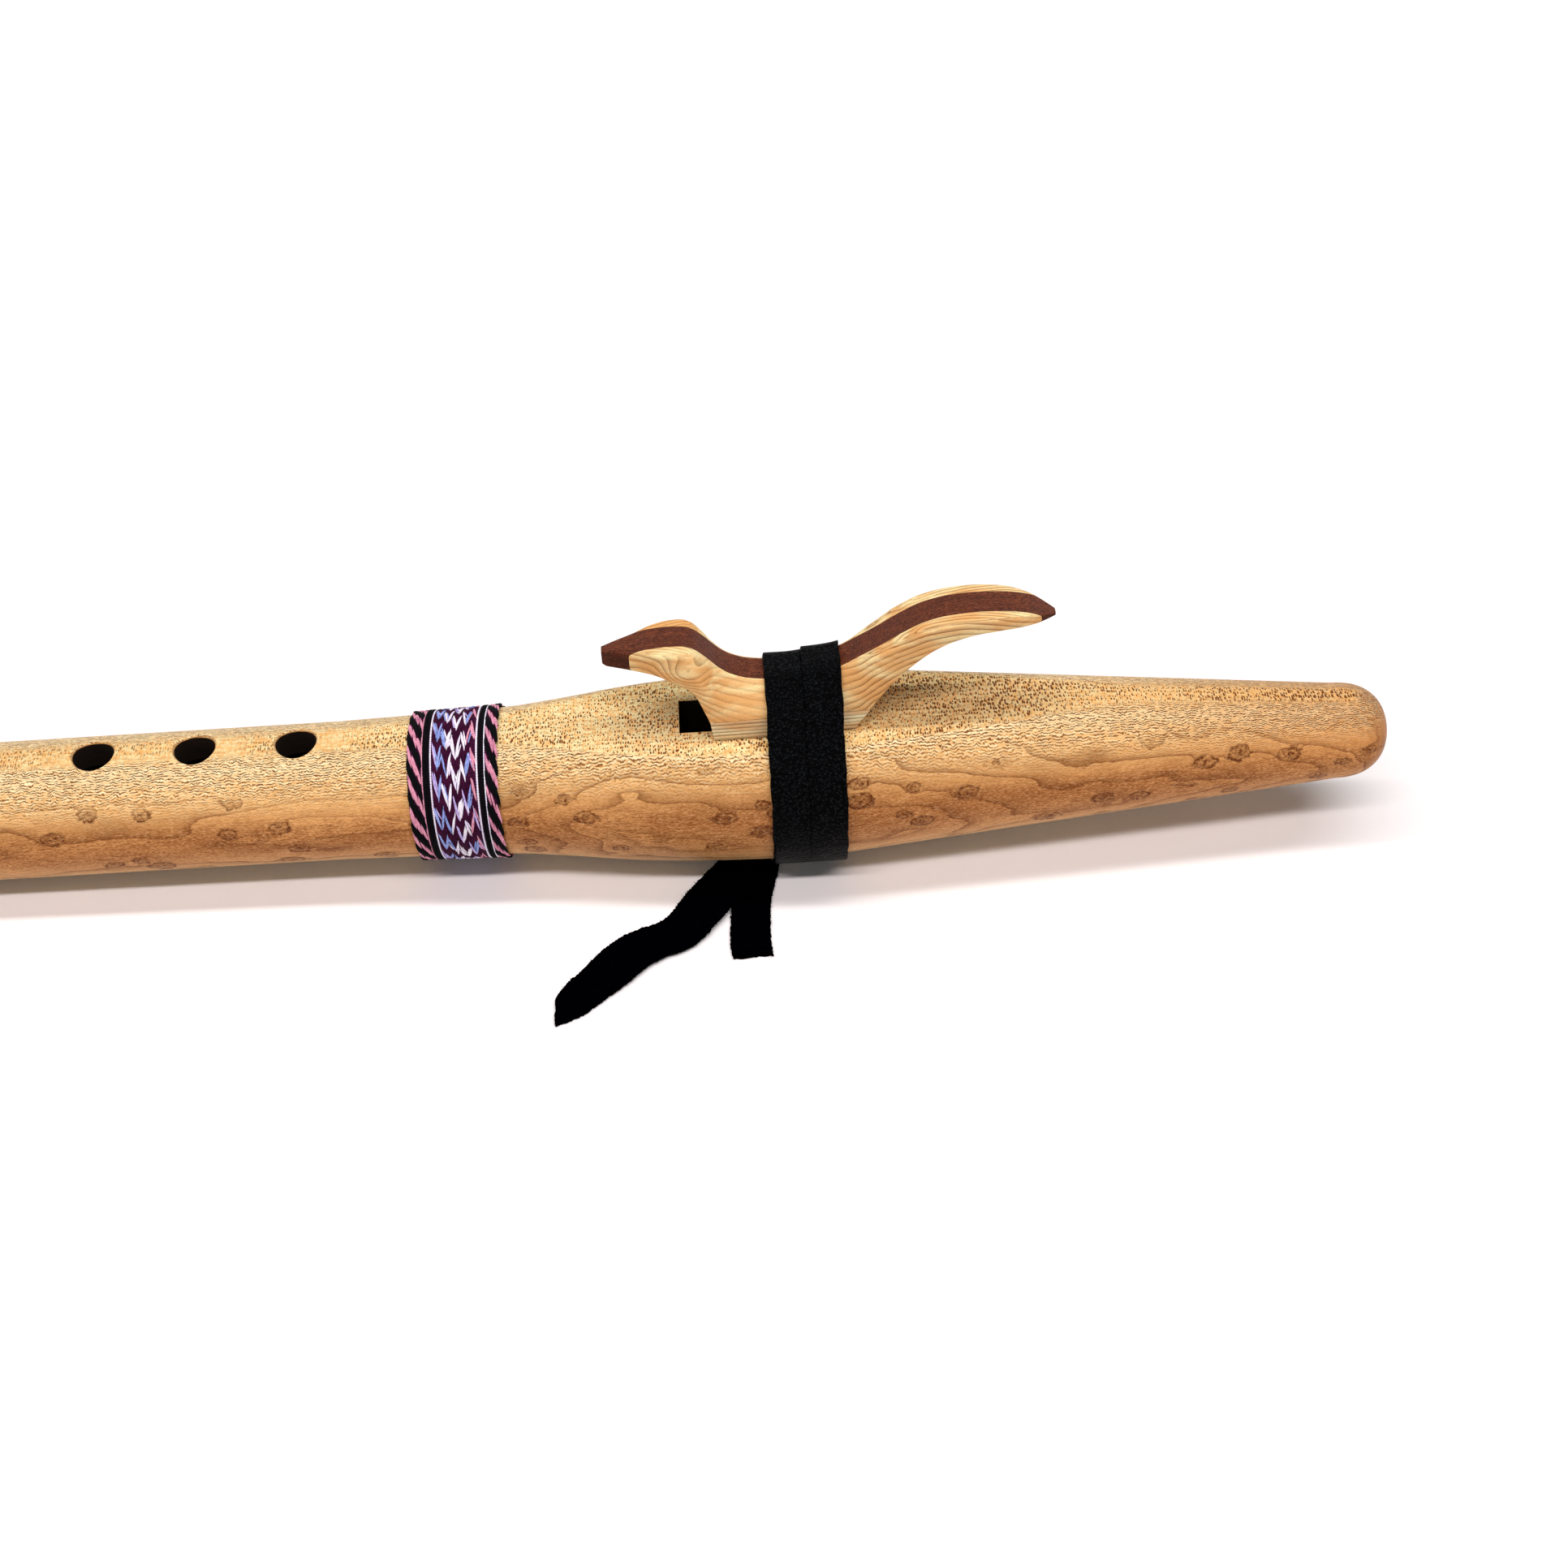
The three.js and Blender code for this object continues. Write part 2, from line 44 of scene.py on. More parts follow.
# Sizes in millimetres, in the flute's own frame: x = 0 is the splitting edge, +X runs to the mouth end
# and +Z is the finger-hole side.
FRONT_TURN = 28.0
STAND = 26.7
FOOT_LENGTH = 326.0
FOOT_RADIUS = 18.3
FOOT_EDGE = 1.0
CHAMBER_RADIUS = 18.7
SWELL_START = 92.0
BULGE_RADIUS = 25.6
TAPER_START = 50.0
MOUTH_RADIUS = 13.1
MOUTH_LENGTH = 192.3
MOUTH_ROUNDING = 14.0
ROUNDING_START = MOUTH_LENGTH - MOUTH_ROUNDING
MOUTH_ROUNDNESS = 2.4
NEST = 19.1
NEST_BLEND = 1.1
SEAT = 19.4
BORE = 11.1
AIR_END = 146.0
BREATH_START = 164.0
BREATH = 4.0
HOLE = 5.32
HOLE_PITCH = 26.65
FIRST_HOLE = 101.5
HAND_GAP = 39.0
SOUND_LENGTH = 9.0
SOUND_WIDTH = 12.9
WALL_END = 18.5
EXIT_END = 26.5
EXIT_FOOT = 37.6
RAMP_FOOT = (-14, 10.1)
EDGE_LEVEL = 18.1
CUT_TOP = 23.0
TIP = -18.4
BLOCK_LENGTH = 116.9
BLOCK_HEIGHT = 32.7
HALF_WIDTH = 10.6
CORE_SIDE = 4.05
BASE_TOP = 25.6
SEAM = 0.07
FLUE_DEPTH = 1.1
LACE_WIDTH = 10.0
LACE_PITCH = 9.9
LACE_THICKNESS = 1.3
LACE_GAP = 0.3
TILT = math.atan((STAND - FOOT_RADIUS) / (FRONT_TURN + FOOT_LENGTH - FOOT_EDGE))
FLUTE = Matrix.Rotation(-TILT, 4, "Y") @ Matrix.Translation(Vector((-FRONT_TURN, 0, STAND)) * MM)
WORLD = Matrix.Identity(4)

# Share of the swelling along the bulge's front.
SWELL = [
    (0, 0), (0.085, 0.045), (0.211, 0.1), (0.331, 0.2), (0.394, 0.33), (0.458, 0.49), (0.521, 0.66),
    (0.585, 0.795), (0.648, 0.89), (0.732, 0.965), (0.838, 1), (0.944, 0.935), (1, 0.847)]

# The block, as shares of its length: top, underside and shoulder as shares of its height, then the half
# widths of the ridge and the hem as shares of the widest one.
TOP = [
    (0, 0.753), (0.033, 0.776), (0.07, 0.795), (0.11, 0.822), (0.15, 0.833), (0.178, 0.828),
    (0.2, 0.8), (0.224, 0.724), (0.252, 0.612), (0.28, 0.531), (0.32, 0.476), (0.358, 0.459),
    (0.4, 0.459), (0.439, 0.473), (0.482, 0.5), (0.523, 0.541), (0.565, 0.622), (0.608, 0.714),
    (0.665, 0.848), (0.71, 0.933), (0.76, 0.98), (0.822, 1), (0.88, 0.993), (0.93, 0.965),
    (0.972, 0.913), (1, 0.873)]
UNDER = [
    (0, 0.622), (0.009, 0.598), (0.068, 0.603), (0.097, 0.603), (0.121, 0.589), (0.154, 0.536),
    (0.183, 0.493), (0.2, 0.435), (0.211, 0.344), (0.221, 0.25), (0.229, 0.165), (0.235, 0),
    (0.55, 0), (0.571, 0.083), (0.6, 0.245), (0.644, 0.45), (0.689, 0.609), (0.731, 0.723),
    (0.773, 0.797), (0.83, 0.856), (0.9, 0.873), (0.952, 0.864), (1, 0.845)]
SHOULDER = [
    (0, 0.69), (0.154, 0.69), (0.183, 0.66), (0.21, 0.57), (0.235, 0.4), (0.28, 0.25), (0.33, 0.21),
    (0.52, 0.222), (0.568, 0.294), (0.602, 0.42), (0.644, 0.6), (0.7, 0.77), (0.773, 0.89),
    (0.858, 0.93), (0.952, 0.9), (1, 0.86)]
RIDGE = [
    (0, 0.13), (0.04, 0.3), (0.068, 0.42), (0.11, 0.61), (0.151, 0.717), (0.175, 0.741), (0.2, 0.7),
    (0.221, 0.6), (0.24, 0.5), (0.27, 0.45), (0.36, 0.43), (0.5, 0.435), (0.55, 0.49), (0.6, 0.66),
    (0.657, 0.764), (0.756, 0.764), (0.832, 0.736), (0.898, 0.655), (0.952, 0.46), (0.978, 0.28), (1, 0.09)]
HEM = [
    (0, 0.13), (0.04, 0.3), (0.068, 0.42), (0.11, 0.61), (0.154, 0.755), (0.199, 0.887), (0.235, 1),
    (0.371, 0.962), (0.55, 0.868), (0.644, 0.811), (0.704, 0.774), (0.832, 0.745), (0.898, 0.67),
    (0.952, 0.47), (0.978, 0.285), (1, 0.095)]


def curve_at(pairs, place):
    """Smooth curve through (place, value) pairs that never overshoots them."""
    xs, ys = np.array(pairs, float).T
    slopes = np.diff(ys) / np.diff(xs)
    before, after = slopes[:-1], slopes[1:]
    both = before + after
    safe = np.where(np.abs(both) < 1e-12, 1, both)
    inner = np.where(before * after <= 0, 0, 2 * before * after / safe)
    tangents = np.concatenate([[slopes[0]], inner, [slopes[-1]]])
    place = np.clip(place, xs[0], xs[-1])
    i = np.clip(np.searchsorted(xs, place) - 1, 0, len(xs) - 2)
    width = xs[i + 1] - xs[i]
    u = (place - xs[i]) / width
    keep = (1 + 2 * u) * (1 - u) ** 2
    leave = u * (1 - u) ** 2 * width
    arrive = u * u * (u - 1) * width
    return keep * ys[i] + (1 - keep) * ys[i + 1] + leave * tangents[i] + arrive * tangents[i + 1]


def smooth_min(a, b):
    h = np.clip(0.5 + 0.5 * (b - a) / NEST_BLEND, 0, 1)
    return b * (1 - h) + a * h - NEST_BLEND * h * (1 - h)


def smooth_step(value, start, end):
    t = np.clip((value - start) / (end - start), 0, 1)
    return t * t * (3 - 2 * t)


def unit(vectors):
    return vectors / np.linalg.norm(vectors, axis=-1, keepdims=True)


def round_angles(count):
    """Equal angles once round."""
    return np.arange(count) * 2 * math.pi / count


# Meshes
def mesh_object(name, points, faces, material=None, world=FLUTE):
    """A mesh from points in millimetres, in the flute's own frame unless world says otherwise."""
    mesh = bpy.data.meshes.new(name)
    mesh.from_pydata((np.asarray(points, float) * MM).tolist(), [], faces)
    mesh.update()
    obj = bpy.data.objects.new(name, mesh)
    scene.collection.objects.link(obj)
    obj.matrix_world = world
    if material:
        mesh.materials.append(material)
    return obj


def ring_faces(rows, count, start=0, closed=False):
    """Faces between neighbouring rings; closed joins the last ring to the first one too."""
    faces = []
    for i in range(rows if closed else rows - 1):
        a, b = start + i * count, start + (i + 1) % rows * count
        for j in range(count):
            k = (j + 1) % count
            faces.append((a + j, a + k, b + k, b + j))
    return faces


def capped_faces(rows, count, start=0):
    """Faces over rings with one more face on each end."""
    end = start + rows * count - 1
    ends = [tuple(range(start, start + count)), tuple(range(end, end - count, -1))]
    return ring_faces(rows, count, start) + ends


def loft(rings):
    """Closed skin over equal rings."""
    rings = np.asarray(rings, float)
    return rings.reshape(-1, 3), capped_faces(*rings.shape[:2])


def turned(outline, segments=96, level_from=math.inf):
    """Solid about the flute's axis, from (x, radius) pairs that start and end on the axis; beyond level_from
    its top is levelled at the nest."""
    turn = round_angles(segments)
    rings = []
    for x, radius in outline[1:-1]:
        height = radius * np.sin(turn)
        if x > level_from:
            height = smooth_min(height, NEST)
        rings.append(np.stack([np.full(segments, x), radius * np.cos(turn), height], 1))
    end = len(rings) * segments + 1
    base = end - segments
    faces = [(0, 1 + (j + 1) % segments, 1 + j) for j in range(segments)]
    faces += ring_faces(len(rings), segments, 1)
    faces += [(end, base + j, base + (j + 1) % segments) for j in range(segments)]
    return [(outline[0][0], 0, 0), *np.reshape(rings, (-1, 3)), (outline[-1][0], 0, 0)], faces


def prism(outline):
    """Prism with an outline in x and z, as wide as the sound hole."""
    half = SOUND_WIDTH / 2
    return loft([[(x, y, z) for x, z in outline] for y in (-half, half)])


def shade(obj, degrees):
    """Smooth surface with sharp edges above an angle."""
    obj.data.shade_smooth()
    obj.data.set_sharp_from_angle(angle=math.radians(degrees))


def solid(name, shape, material=None, degrees=None, world=FLUTE):
    """A closed mesh with its faces outwards; it is smooth but for edges sharper than degrees."""
    obj = mesh_object(name, *shape, material, world)
    work = bmesh.new()
    work.from_mesh(obj.data)
    bmesh.ops.recalc_face_normals(work, faces=work.faces)
    work.to_mesh(obj.data)
    work.free()
    if degrees:
        shade(obj, degrees)
    return obj


def combine(target, other, operation):
    """Joins or cuts the target with another solid, which is used up."""
    modifier = target.modifiers.new("combine", "BOOLEAN")
    modifier.object = other
    modifier.operation = operation
    modifier.solver = "EXACT"
    modifier.material_mode = "TRANSFER"
    bpy.context.view_layer.update()
    graph = bpy.context.evaluated_depsgraph_get()
    mesh = bpy.data.meshes.new_from_object(target.evaluated_get(graph))
    target.modifiers.clear()
    old = target.data
    target.data = mesh
    bpy.data.meshes.remove(old)
    bpy.data.objects.remove(other)


def hand_in(obj, body, slot, *nodes):
    """Settles a piece in the row frame, ties it to its body and hides the model nodes it stands in for; slot
    is not used.
    """
    obj.data.transform(obj.matrix_world)
    obj.matrix_world = WORLD
    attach(obj, body)
    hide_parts(*nodes)


# Camera
FOCAL_SHARE = 2400.0 / 1932
SENSOR = 36.0
TARGET = (27.239, 0.0, -7.678)
DISTANCE = 536.24
ELEVATION, YAW, ROLL = np.radians((43.455, -1.899, -2.172))


def make_camera():
    level = math.cos(ELEVATION)
    back = Vector((math.sin(YAW) * level, -math.cos(YAW) * level, math.sin(ELEVATION)))
    side = (-back).cross(Vector((0, 0, 1))).normalized()
    high = side.cross(-back)
    right = side * math.cos(ROLL) + high * math.sin(ROLL)
    up = -side * math.sin(ROLL) + high * math.cos(ROLL)
    place = (Vector(TARGET) + back * DISTANCE) * MM
    pose = Matrix.Translation(place) @ Matrix((right, up, back)).transposed().to_4x4()
    data = bpy.data.cameras.new("camera")
    data.sensor_width = SENSOR
    data.lens = FOCAL_SHARE * SENSOR
    data.clip_start = 0.01
    view = bpy.data.objects.new("camera", data)
    scene.collection.objects.link(view)
    view.matrix_world = FLUTE @ pose
    scene.camera = view


# Materials
def operator(name, swapped=False):
    """Arithmetic of one kind on outputs and numbers."""
    def act(self, other):
        return self.tree.math(name, other, self) if swapped else self.tree.math(name, self, other)
    return act


class Value:
    """One output of a node; arithmetic on it adds math nodes to its tree."""

    def __init__(self, tree, socket):
        self.tree, self.socket = tree, socket

    __add__, __radd__ = operator("ADD"), operator("ADD", True)
    __sub__, __rsub__ = operator("SUBTRACT"), operator("SUBTRACT", True)
    __mul__, __rmul__ = operator("MULTIPLY"), operator("MULTIPLY", True)
    __truediv__ = operator("DIVIDE")

    def __abs__(self):
        return self.tree.math("ABSOLUTE", self)

    def bell(self, sharp):
        """1 where the value is 0, falling away on both sides."""
        return self.tree.math("EXPONENT", self * self * -sharp)


class Tree:
    """The nodes of a material or world, with short calls that return one output each."""

    def __init__(self, owner):
        owner.use_nodes = True
        self.owner = owner
        self.tree = owner.node_tree
        self.at = None

    def node(self, kind, inputs, **settings):
        made = self.tree.nodes.new("ShaderNode" + kind)
        for name, value in settings.items():
            setattr(made, name, value)
        for key, value in inputs.items():
            self.set(made.inputs[key], value)
        return made

    def value(self, kind, inputs, output=0, **settings):
        return Value(self, self.node(kind, inputs, **settings).outputs[output])

    def set(self, socket, value):
        if isinstance(value, Value):
            value = value.socket
        if isinstance(value, bpy.types.NodeSocket):
            self.tree.links.new(value, socket)
        elif isinstance(value, tuple) and len(value) == 3 and socket.type == "RGBA":
            socket.default_value = (*value, 1)
        else:
            socket.default_value = value

    def math(self, operation, *values, clamp=False):
        return self.value("Math", dict(enumerate(values)), operation=operation, use_clamp=clamp)

    def vector(self, operation, *values):
        return self.value("VectorMath", dict(enumerate(values)), operation=operation)

    def split(self, vector):
        return [Value(self, socket) for socket in self.node("SeparateXYZ", {0: vector}).outputs]

    def facing(self):
        """Parts of the surface's direction."""
        return self.split(self.value("TexCoord", {}, "Normal"))

    def place(self, scale=(1, 1, 1)):
        """Place in the flute's own frame in millimetres, stretched by scale."""
        if self.at is None:
            self.at = self.value("Mapping", {
                "Vector": self.value("TexCoord", {}, "Object"), "Location": (FRONT_TURN, 0, -STAND),
                "Rotation": (0, TILT, 0), "Scale": (1000, 1000, 1000)})
        return self.vector("MULTIPLY", self.at, scale)

    def noise(self, scale, detail=2.0, rough=0.5, output=0):
        inputs = {"Vector": self.place(scale), "Scale": 1.0, "Detail": detail, "Roughness": rough}
        return self.value("TexNoise", inputs, output, noise_dimensions="3D")

    def drift(self, scale, detail, rough, size):
        """A noise vector about zero."""
        cloud = self.noise(scale, detail, rough, 1)
        return self.vector("MULTIPLY", self.vector("SUBTRACT", cloud, (0.5, 0.5, 0.5)), size)

    def cells(self, at, scale, randomness):
        """Distance to the nearest random point in a plane, and that point's three chances."""
        inputs = {"Vector": at, "Scale": scale, "Randomness": randomness}
        made = self.node("TexVoronoi", inputs, voronoi_dimensions="2D")
        return Value(self, made.outputs["Distance"]), self.split(made.outputs["Color"])

    def step(self, value, low, high, start=0.0, end=1.0):
        inputs = {0: value, 1: low, 2: high, 3: start, 4: end}
        return self.value("MapRange", inputs, interpolation_type="SMOOTHSTEP")

    def ramp(self, value, stops):
        made = self.node("ValToRGB", {0: value})
        ramp = made.color_ramp
        while len(ramp.elements) < len(stops):
            ramp.elements.new(0.5)
        for element, (at, colour) in zip(ramp.elements, stops):
            element.position = at
            element.color = (*colour, 1) if isinstance(colour, tuple) else (colour, colour, colour, 1)
        return Value(self, made.outputs[0])

    def mix(self, share, a, b):
        return self.value("Mix", {0: share, 6: a, 7: b}, 2, data_type="RGBA")

    def paint(self, base, *layers):
        """Lays colours over a base in order, each with its own share."""
        for share, colour in layers:
            base = self.mix(share, base, colour)
        return base

    def bump(self, height, millimetres, below=None):
        inputs = {"Strength": 1.0, "Distance": millimetres * MM, "Height": height}
        if below:
            inputs["Normal"] = below
        return self.value("Bump", inputs)

    def finish(self, colour, roughness, specular, normal=None, **sockets):
        sockets.update({"Base Color": colour, "Roughness": roughness, "Specular IOR Level": specular})
        if normal:
            sockets["Normal"] = normal
        for name, value in sockets.items():
            self.set(self.tree.nodes["Principled BSDF"].inputs[name.replace("_", " ")], value)
        return self.owner


def new_tree(name):
    return Tree(bpy.data.materials.new(name))


def growth_lines(t, field, spacing, sharp=0.1, fade=7.0):
    """Dark lines where the field passes whole spacings, sharp on one side and fading on the other."""
    share = t.math("FRACT", field / spacing)
    return t.math("POWER", 1.0 - share, fade) * t.step(share, 0.0, sharp * 0.5)


# The maple's figure: spacing of eyes, rings, thin rings, dashes and wave rows.
EYE_CELL = 7.6
RING = 3.1
THIN_RING = 1.03
DASH_CELL = (0.66, 1.6)
WAVE_ROW = 0.83
WAVE_RADIUS = 21.0


def maple_material():
    t = new_tree("birdseye_maple")
    x, y, z = t.split(t.place())
    facing = t.facing()
    up, side = abs(facing[2]), abs(facing[1])

    # growth field: rings lie across Y, bent by slow waves, with pits at the eyes
    field = y + t.noise((0.014, 0.045, 0.05), 2.0, 0.45) * 17.0
    field += t.noise((0.038, 0.13, 0.18), 2.0, 0.45) * 4.0
    field += t.noise((0.4, 0.5, 1.5), 2.0, 0.6) * 0.4
    stray = t.drift((0.5, 0.1, 0.55), 3.0, 0.65, (2.6, 2.6, 0.0))
    flat = t.vector("ADD", t.value("CombineXYZ", {0: x * 0.6, 1: z}), stray)
    away, chance = t.cells(flat, 1 / EYE_CELL, 1.0)
    away = away * EYE_CELL / (0.6 + chance[1] * 0.55)
    chosen = t.step(chance[0], 0.47, 0.55)
    pit = away.bell(0.4) * chosen
    field += pit * 4.4
    lines = growth_lines(t, field, RING, 0.06, 5.0)
    thin = growth_lines(t, field, THIN_RING, 0.2, 4.0)
    lines *= t.step(t.noise((0.03, 0.1, 0.1), 1.0), 0.32, 0.55, 0.55)
    lines *= t.step(up, 0.45, 0.85, 1.0, 0.15)

    # broken outline and brown middle of each eye, on the sides only
    rim = (away - 1.7).bell(9.0) * chosen * t.step(t.split(stray)[1], -0.45, 0.25, 0.1)
    middle = away.bell(0.7) * chosen * t.step(t.noise((1.1, 0.3, 1.4)), 0.35, 0.65, 0.35, 1.3)
    eye = (rim + middle * 0.9) * t.step(side, 0.66, 0.92)

    # rays: upright dashes on the flat nest, few on the tube, and broken waves on the shoulders
    sway = t.drift((0.7, 0.4, 0.9), 2.0, 0.6, (1.3, 0.8, 0))
    grid = t.vector("ADD", t.place((1 / DASH_CELL[0], 1 / DASH_CELL[1], 0)), sway)
    apart, luck = t.cells(grid, 1.0, 0.75)
    patch = t.noise((0.05, 0.1, 0.12))
    wide = 0.24 + luck[1] * 0.16 + t.step(patch, 0.35, 0.65, -0.08, 0.07)
    wide += t.step(x, -40, 60, -0.07, -0.01)
    dash = t.step(wide - apart, -0.01, 0.05) * t.step(luck[0], 0.05, 0.35, 0.3)
    row = t.math("ARCTAN2", y, z) * WAVE_RADIUS + t.noise((0.55, 0.3, 0.3), 3.0, 0.6) * 2.9
    off_line = abs(t.math("FRACT", row / WAVE_ROW) - 0.5)
    wave = t.step(off_line, 0.27, 0.09) * t.step(t.noise((0.75, 1.5, 1.5), 2.0, 0.6), 0.42, 0.52)
    flat_top = t.step(up, 0.955, 0.995)
    slope = t.ramp(up, [(0.0, 0.0), (0.4, 0.06), (0.58, 0.4), (0.75, 0.9), (0.96, 1.0)])
    tube = t.step(x, 10 - SWELL_START, -SWELL_START)
    sparse = 1.0 - tube * t.step(patch, 0.62, 0.42, 0.25, 0.85)
    dash = dash * t.math("MAXIMUM", flat_top, t.step(side, 0.02, 0.24, 0.8, 0.0)) * sparse
    fleck = t.math("MAXIMUM", dash, wave * slope * (1.0 - flat_top))
    # painted highlights: pale crests beside the wave rows on the shoulders and pale patches on the flat
    # nest, fewer towards the mouth end
    glint = t.noise((0.35, 1.1, 1.1), 2.0, 0.6)
    crests = t.step(off_line, 0.19, 0.42, 0.05) * t.step(glint, 0.36, 0.6, 0.25) * slope
    flat_highlights = t.step(glint, 0.34, 0.54, 0.2) * t.step(x, 15, 70, 1.0, 0.75)
    flat_highlights = t.math("SUBTRACT", flat_highlights, tube * 0.25, clamp=True)
    pale = t.mix(flat_top, crests, flat_highlights) * t.step(x, 70, 150, 1.0, 0.5)

    # colour: honey with browner clouds, darker lines, flecks and eyes, and painted light: paler on top, a
    # painted highlight band, painted highlights, and painted shade on downward faces and the rounded mouth
    # end
    cloud = t.noise((0.03, 0.1, 0.1), 4.0, 0.6)
    base = t.ramp(cloud, [
        (0.3, (0.76, 0.36, 0.12)), (0.43, (0.64, 0.28, 0.086)), (0.55, (0.5, 0.2, 0.056)),
        (0.72, (0.32, 0.115, 0.028))])
    mottled = t.step(t.noise((1.5, 0.5, 0.5), 2.0, 0.6), 0.47, 0.57) * flat_top * 0.62
    streak = t.step(t.noise((0.22, 1.3, 1.9), 3.0, 0.62), 0.45, 0.62)
    pores = t.noise((1.1, 3.5, 5.0), 2.0, 0.6)
    base = t.paint(
        base,
        # painted light: paler honey on faces turned up and down, which lightens the top
        (t.step(up, 0.1, 0.85, 0.0, 0.78), (1.0, 0.6, 0.225)),
        # painted highlight: a pale band where the surface tilts about 25 degrees from level, along the
        # nest's near edge and the shoulders
        (((up - 0.9) / 0.07).bell(1.0) * 0.4, (1.0, 0.82, 0.46)),
        (t.step(x, 90, MOUTH_LENGTH, 0.0, 0.75), (0.66, 0.29, 0.09)),
        # painted shade: darker brown over the rounded mouth end
        (t.step(x, ROUNDING_START, MOUTH_LENGTH, 0.0, 0.6), (0.42, 0.16, 0.042)),
        # painted shade: browner on faces turned down
        (t.step(facing[2], 0.25, -0.5, 0.0, 0.5), (0.6, 0.29, 0.125)),
        # painted highlights in cream
        (pale * 0.88, t.mix(flat_top, (1.0, 0.95, 0.6), (1.0, 0.88, 0.47))),
        (mottled, (0.96, 0.48, 0.13)),
        (streak * t.step(up, 0.05, 0.55, 0.65, 0.08), (0.34, 0.115, 0.026)),
        (thin * 0.3, (0.3, 0.1, 0.024)),
        (lines * 0.9, (0.17, 0.042, 0.005)),
        (eye, (0.12, 0.026, 0.003)),
        (fleck * 0.93, (0.13, 0.022, 0.0)),
        (t.step(pores, 0.51, 0.6) * t.step(up, 0.1, 0.65, 0.6, 0.06), (0.18, 0.048, 0.01)),
        (t.step(pores, 0.45, 0.36) * t.step(up, 0.2, 0.7, 0.32, 0.0), (0.96, 0.6, 0.3)))
    rough = 0.27 + fleck * 0.25 + cloud * 0.12
    height = off_line * slope * 1.2 - fleck * 0.7 - lines * 0.3 + pit * 0.5
    normal = t.bump(pores, 0.04, t.bump(height, 0.17))
    return t.finish(base, rough, 0.045, normal, Coat_Weight=0.02, Coat_Roughness=0.2)


def bore_material():
    t = new_tree("bore_painted_shade")
    grain = t.noise((0.05, 0.6, 0.6), 3.0, 0.6)
    # painted shade: almost black, with faint grain
    colour = t.ramp(grain, [(0.3, (0.006, 0.0035, 0.002)), (0.7, (0.013, 0.007, 0.004))])
    return t.finish(colour, 0.75, 0.15, t.bump(grain, 0.05))


def ash_material(name, field_of, spacing, fade, light, dark):
    """Pale wood with one set of growth lines along a field, small pores and a satin surface."""
    t = new_tree(name)
    field, weight = field_of(t)
    between = growth_lines(t, field + 0.4, spacing * 0.37, 0.3)
    lines = growth_lines(t, field, spacing, 0.1, fade)
    lines *= t.step(t.noise((0.04, 0.3, 0.4), 1.0), 0.3, 0.6, 0.6) * weight
    soft = t.noise((0.05, 0.2, 0.25), 3.0)
    pores = t.noise((0.9, 5.0, 5.0), 2.0, 0.65)
    pale = tuple(min(1.0, v * m) for v, m in zip(light, (1.1, 1.3, 1.6)))
    warm = tuple(v * m for v, m in zip(light, (0.82, 0.68, 0.58)))
    base = t.paint(
        t.mix(t.step(soft, 0.3, 0.62), pale, warm), (between * 0.2, dark), (lines, dark),
        (t.step(pores, 0.56, 0.7, 0.0, 0.35), dark))
    return t.finish(base, 0.38 + soft * 0.12, 0.1, t.bump(pores * 0.5 - lines, 0.06))


NECK_LINE = [
    (0.1, 0.7), (0.17, 0.64), (0.23, 0.47), (0.29, 0.33), (0.36, 0.26), (0.46, 0.25), (0.54, 0.33),
    (0.6, 0.5), (0.67, 0.7), (0.75, 0.85), (0.83, 0.92), (0.92, 0.915)]


def cheek_field(t):
    """Growth field of a cheek: lines follow the neck, fan out along the tail and swirl at the head."""
    x, y, z = t.split(t.place())
    share = (x - TIP) / BLOCK_LENGTH
    curve = t.node("FloatCurve", {"Factor": 1.0, "Value": share})
    line = curve.mapping.curves[0]
    for point, (place, value) in zip(line.points, [(0, 0.7), (1, 0.86)]):
        point.location = (place, value)
    for place, value in NECK_LINE:
        line.points.new(place, value)
    curve.mapping.update()
    height = z - Value(t, curve.outputs[0]) * BLOCK_HEIGHT
    field = height / t.step(share, 0.45, 1.0, 1.0, 0.6)
    field -= abs(y) * t.step(t.facing()[2], 0.7, 0.92, 0.35, 1.9)
    field += t.noise((0.03, 0.1, 0.1), 1.0) * 2.6
    field += t.noise((0.12, 0.3, 0.3)) * 0.6
    swirl_x, swirl_z = (x - 2.5) / 5.4, (z - 40.5) / 4.8
    swirl = t.math("EXPONENT", (swirl_x * swirl_x + swirl_z * swirl_z) * -1.0)
    weight = t.ramp(share, [(0.0, 0.8), (0.2, 0.75), (0.3, 0.4), (0.48, 0.4), (0.58, 1.0), (0.97, 1.0)])
    return field + swirl * 9.5, weight


def plate_field(t):
    x, y, z = t.split(t.place())
    return z + y * 0.18 + t.noise((0.02, 0.15, 0.3), 1.0) * 0.5, 1.0


def walnut_material():
    t = new_tree("walnut_core")
    grain = t.noise((0.06, 0.7, 0.7), 3.0, 0.55)
    streak = t.noise((0.35, 2.6, 2.6), 2.0, 0.6)
    pores = t.noise((0.9, 4.5, 4.5), 2.0, 0.7)
    base = t.ramp(grain, [
        (0.3, (0.07, 0.014, 0.005)), (0.5, (0.115, 0.025, 0.009)), (0.7, (0.16, 0.04, 0.015))])
    base = t.paint(
        base,
        (t.step(streak, 0.5, 0.72, 0.0, 0.5), (0.045, 0.011, 0.005)),
        (t.step(pores, 0.52, 0.6, 0.0, 0.85), (0.018, 0.005, 0.002)),
        (t.step(pores, 0.44, 0.32, 0.0, 0.6), (0.3, 0.11, 0.055)),
        # painted shade: darker on the side faces than on the top
        (t.step(abs(t.facing()[1]), 0.5, 0.9, 0.0, 0.5), (0.022, 0.004, 0.002)))
    return t.finish(base, 0.42 + grain * 0.15, 0.1, t.bump(streak * 0.4 - pores, 0.13))


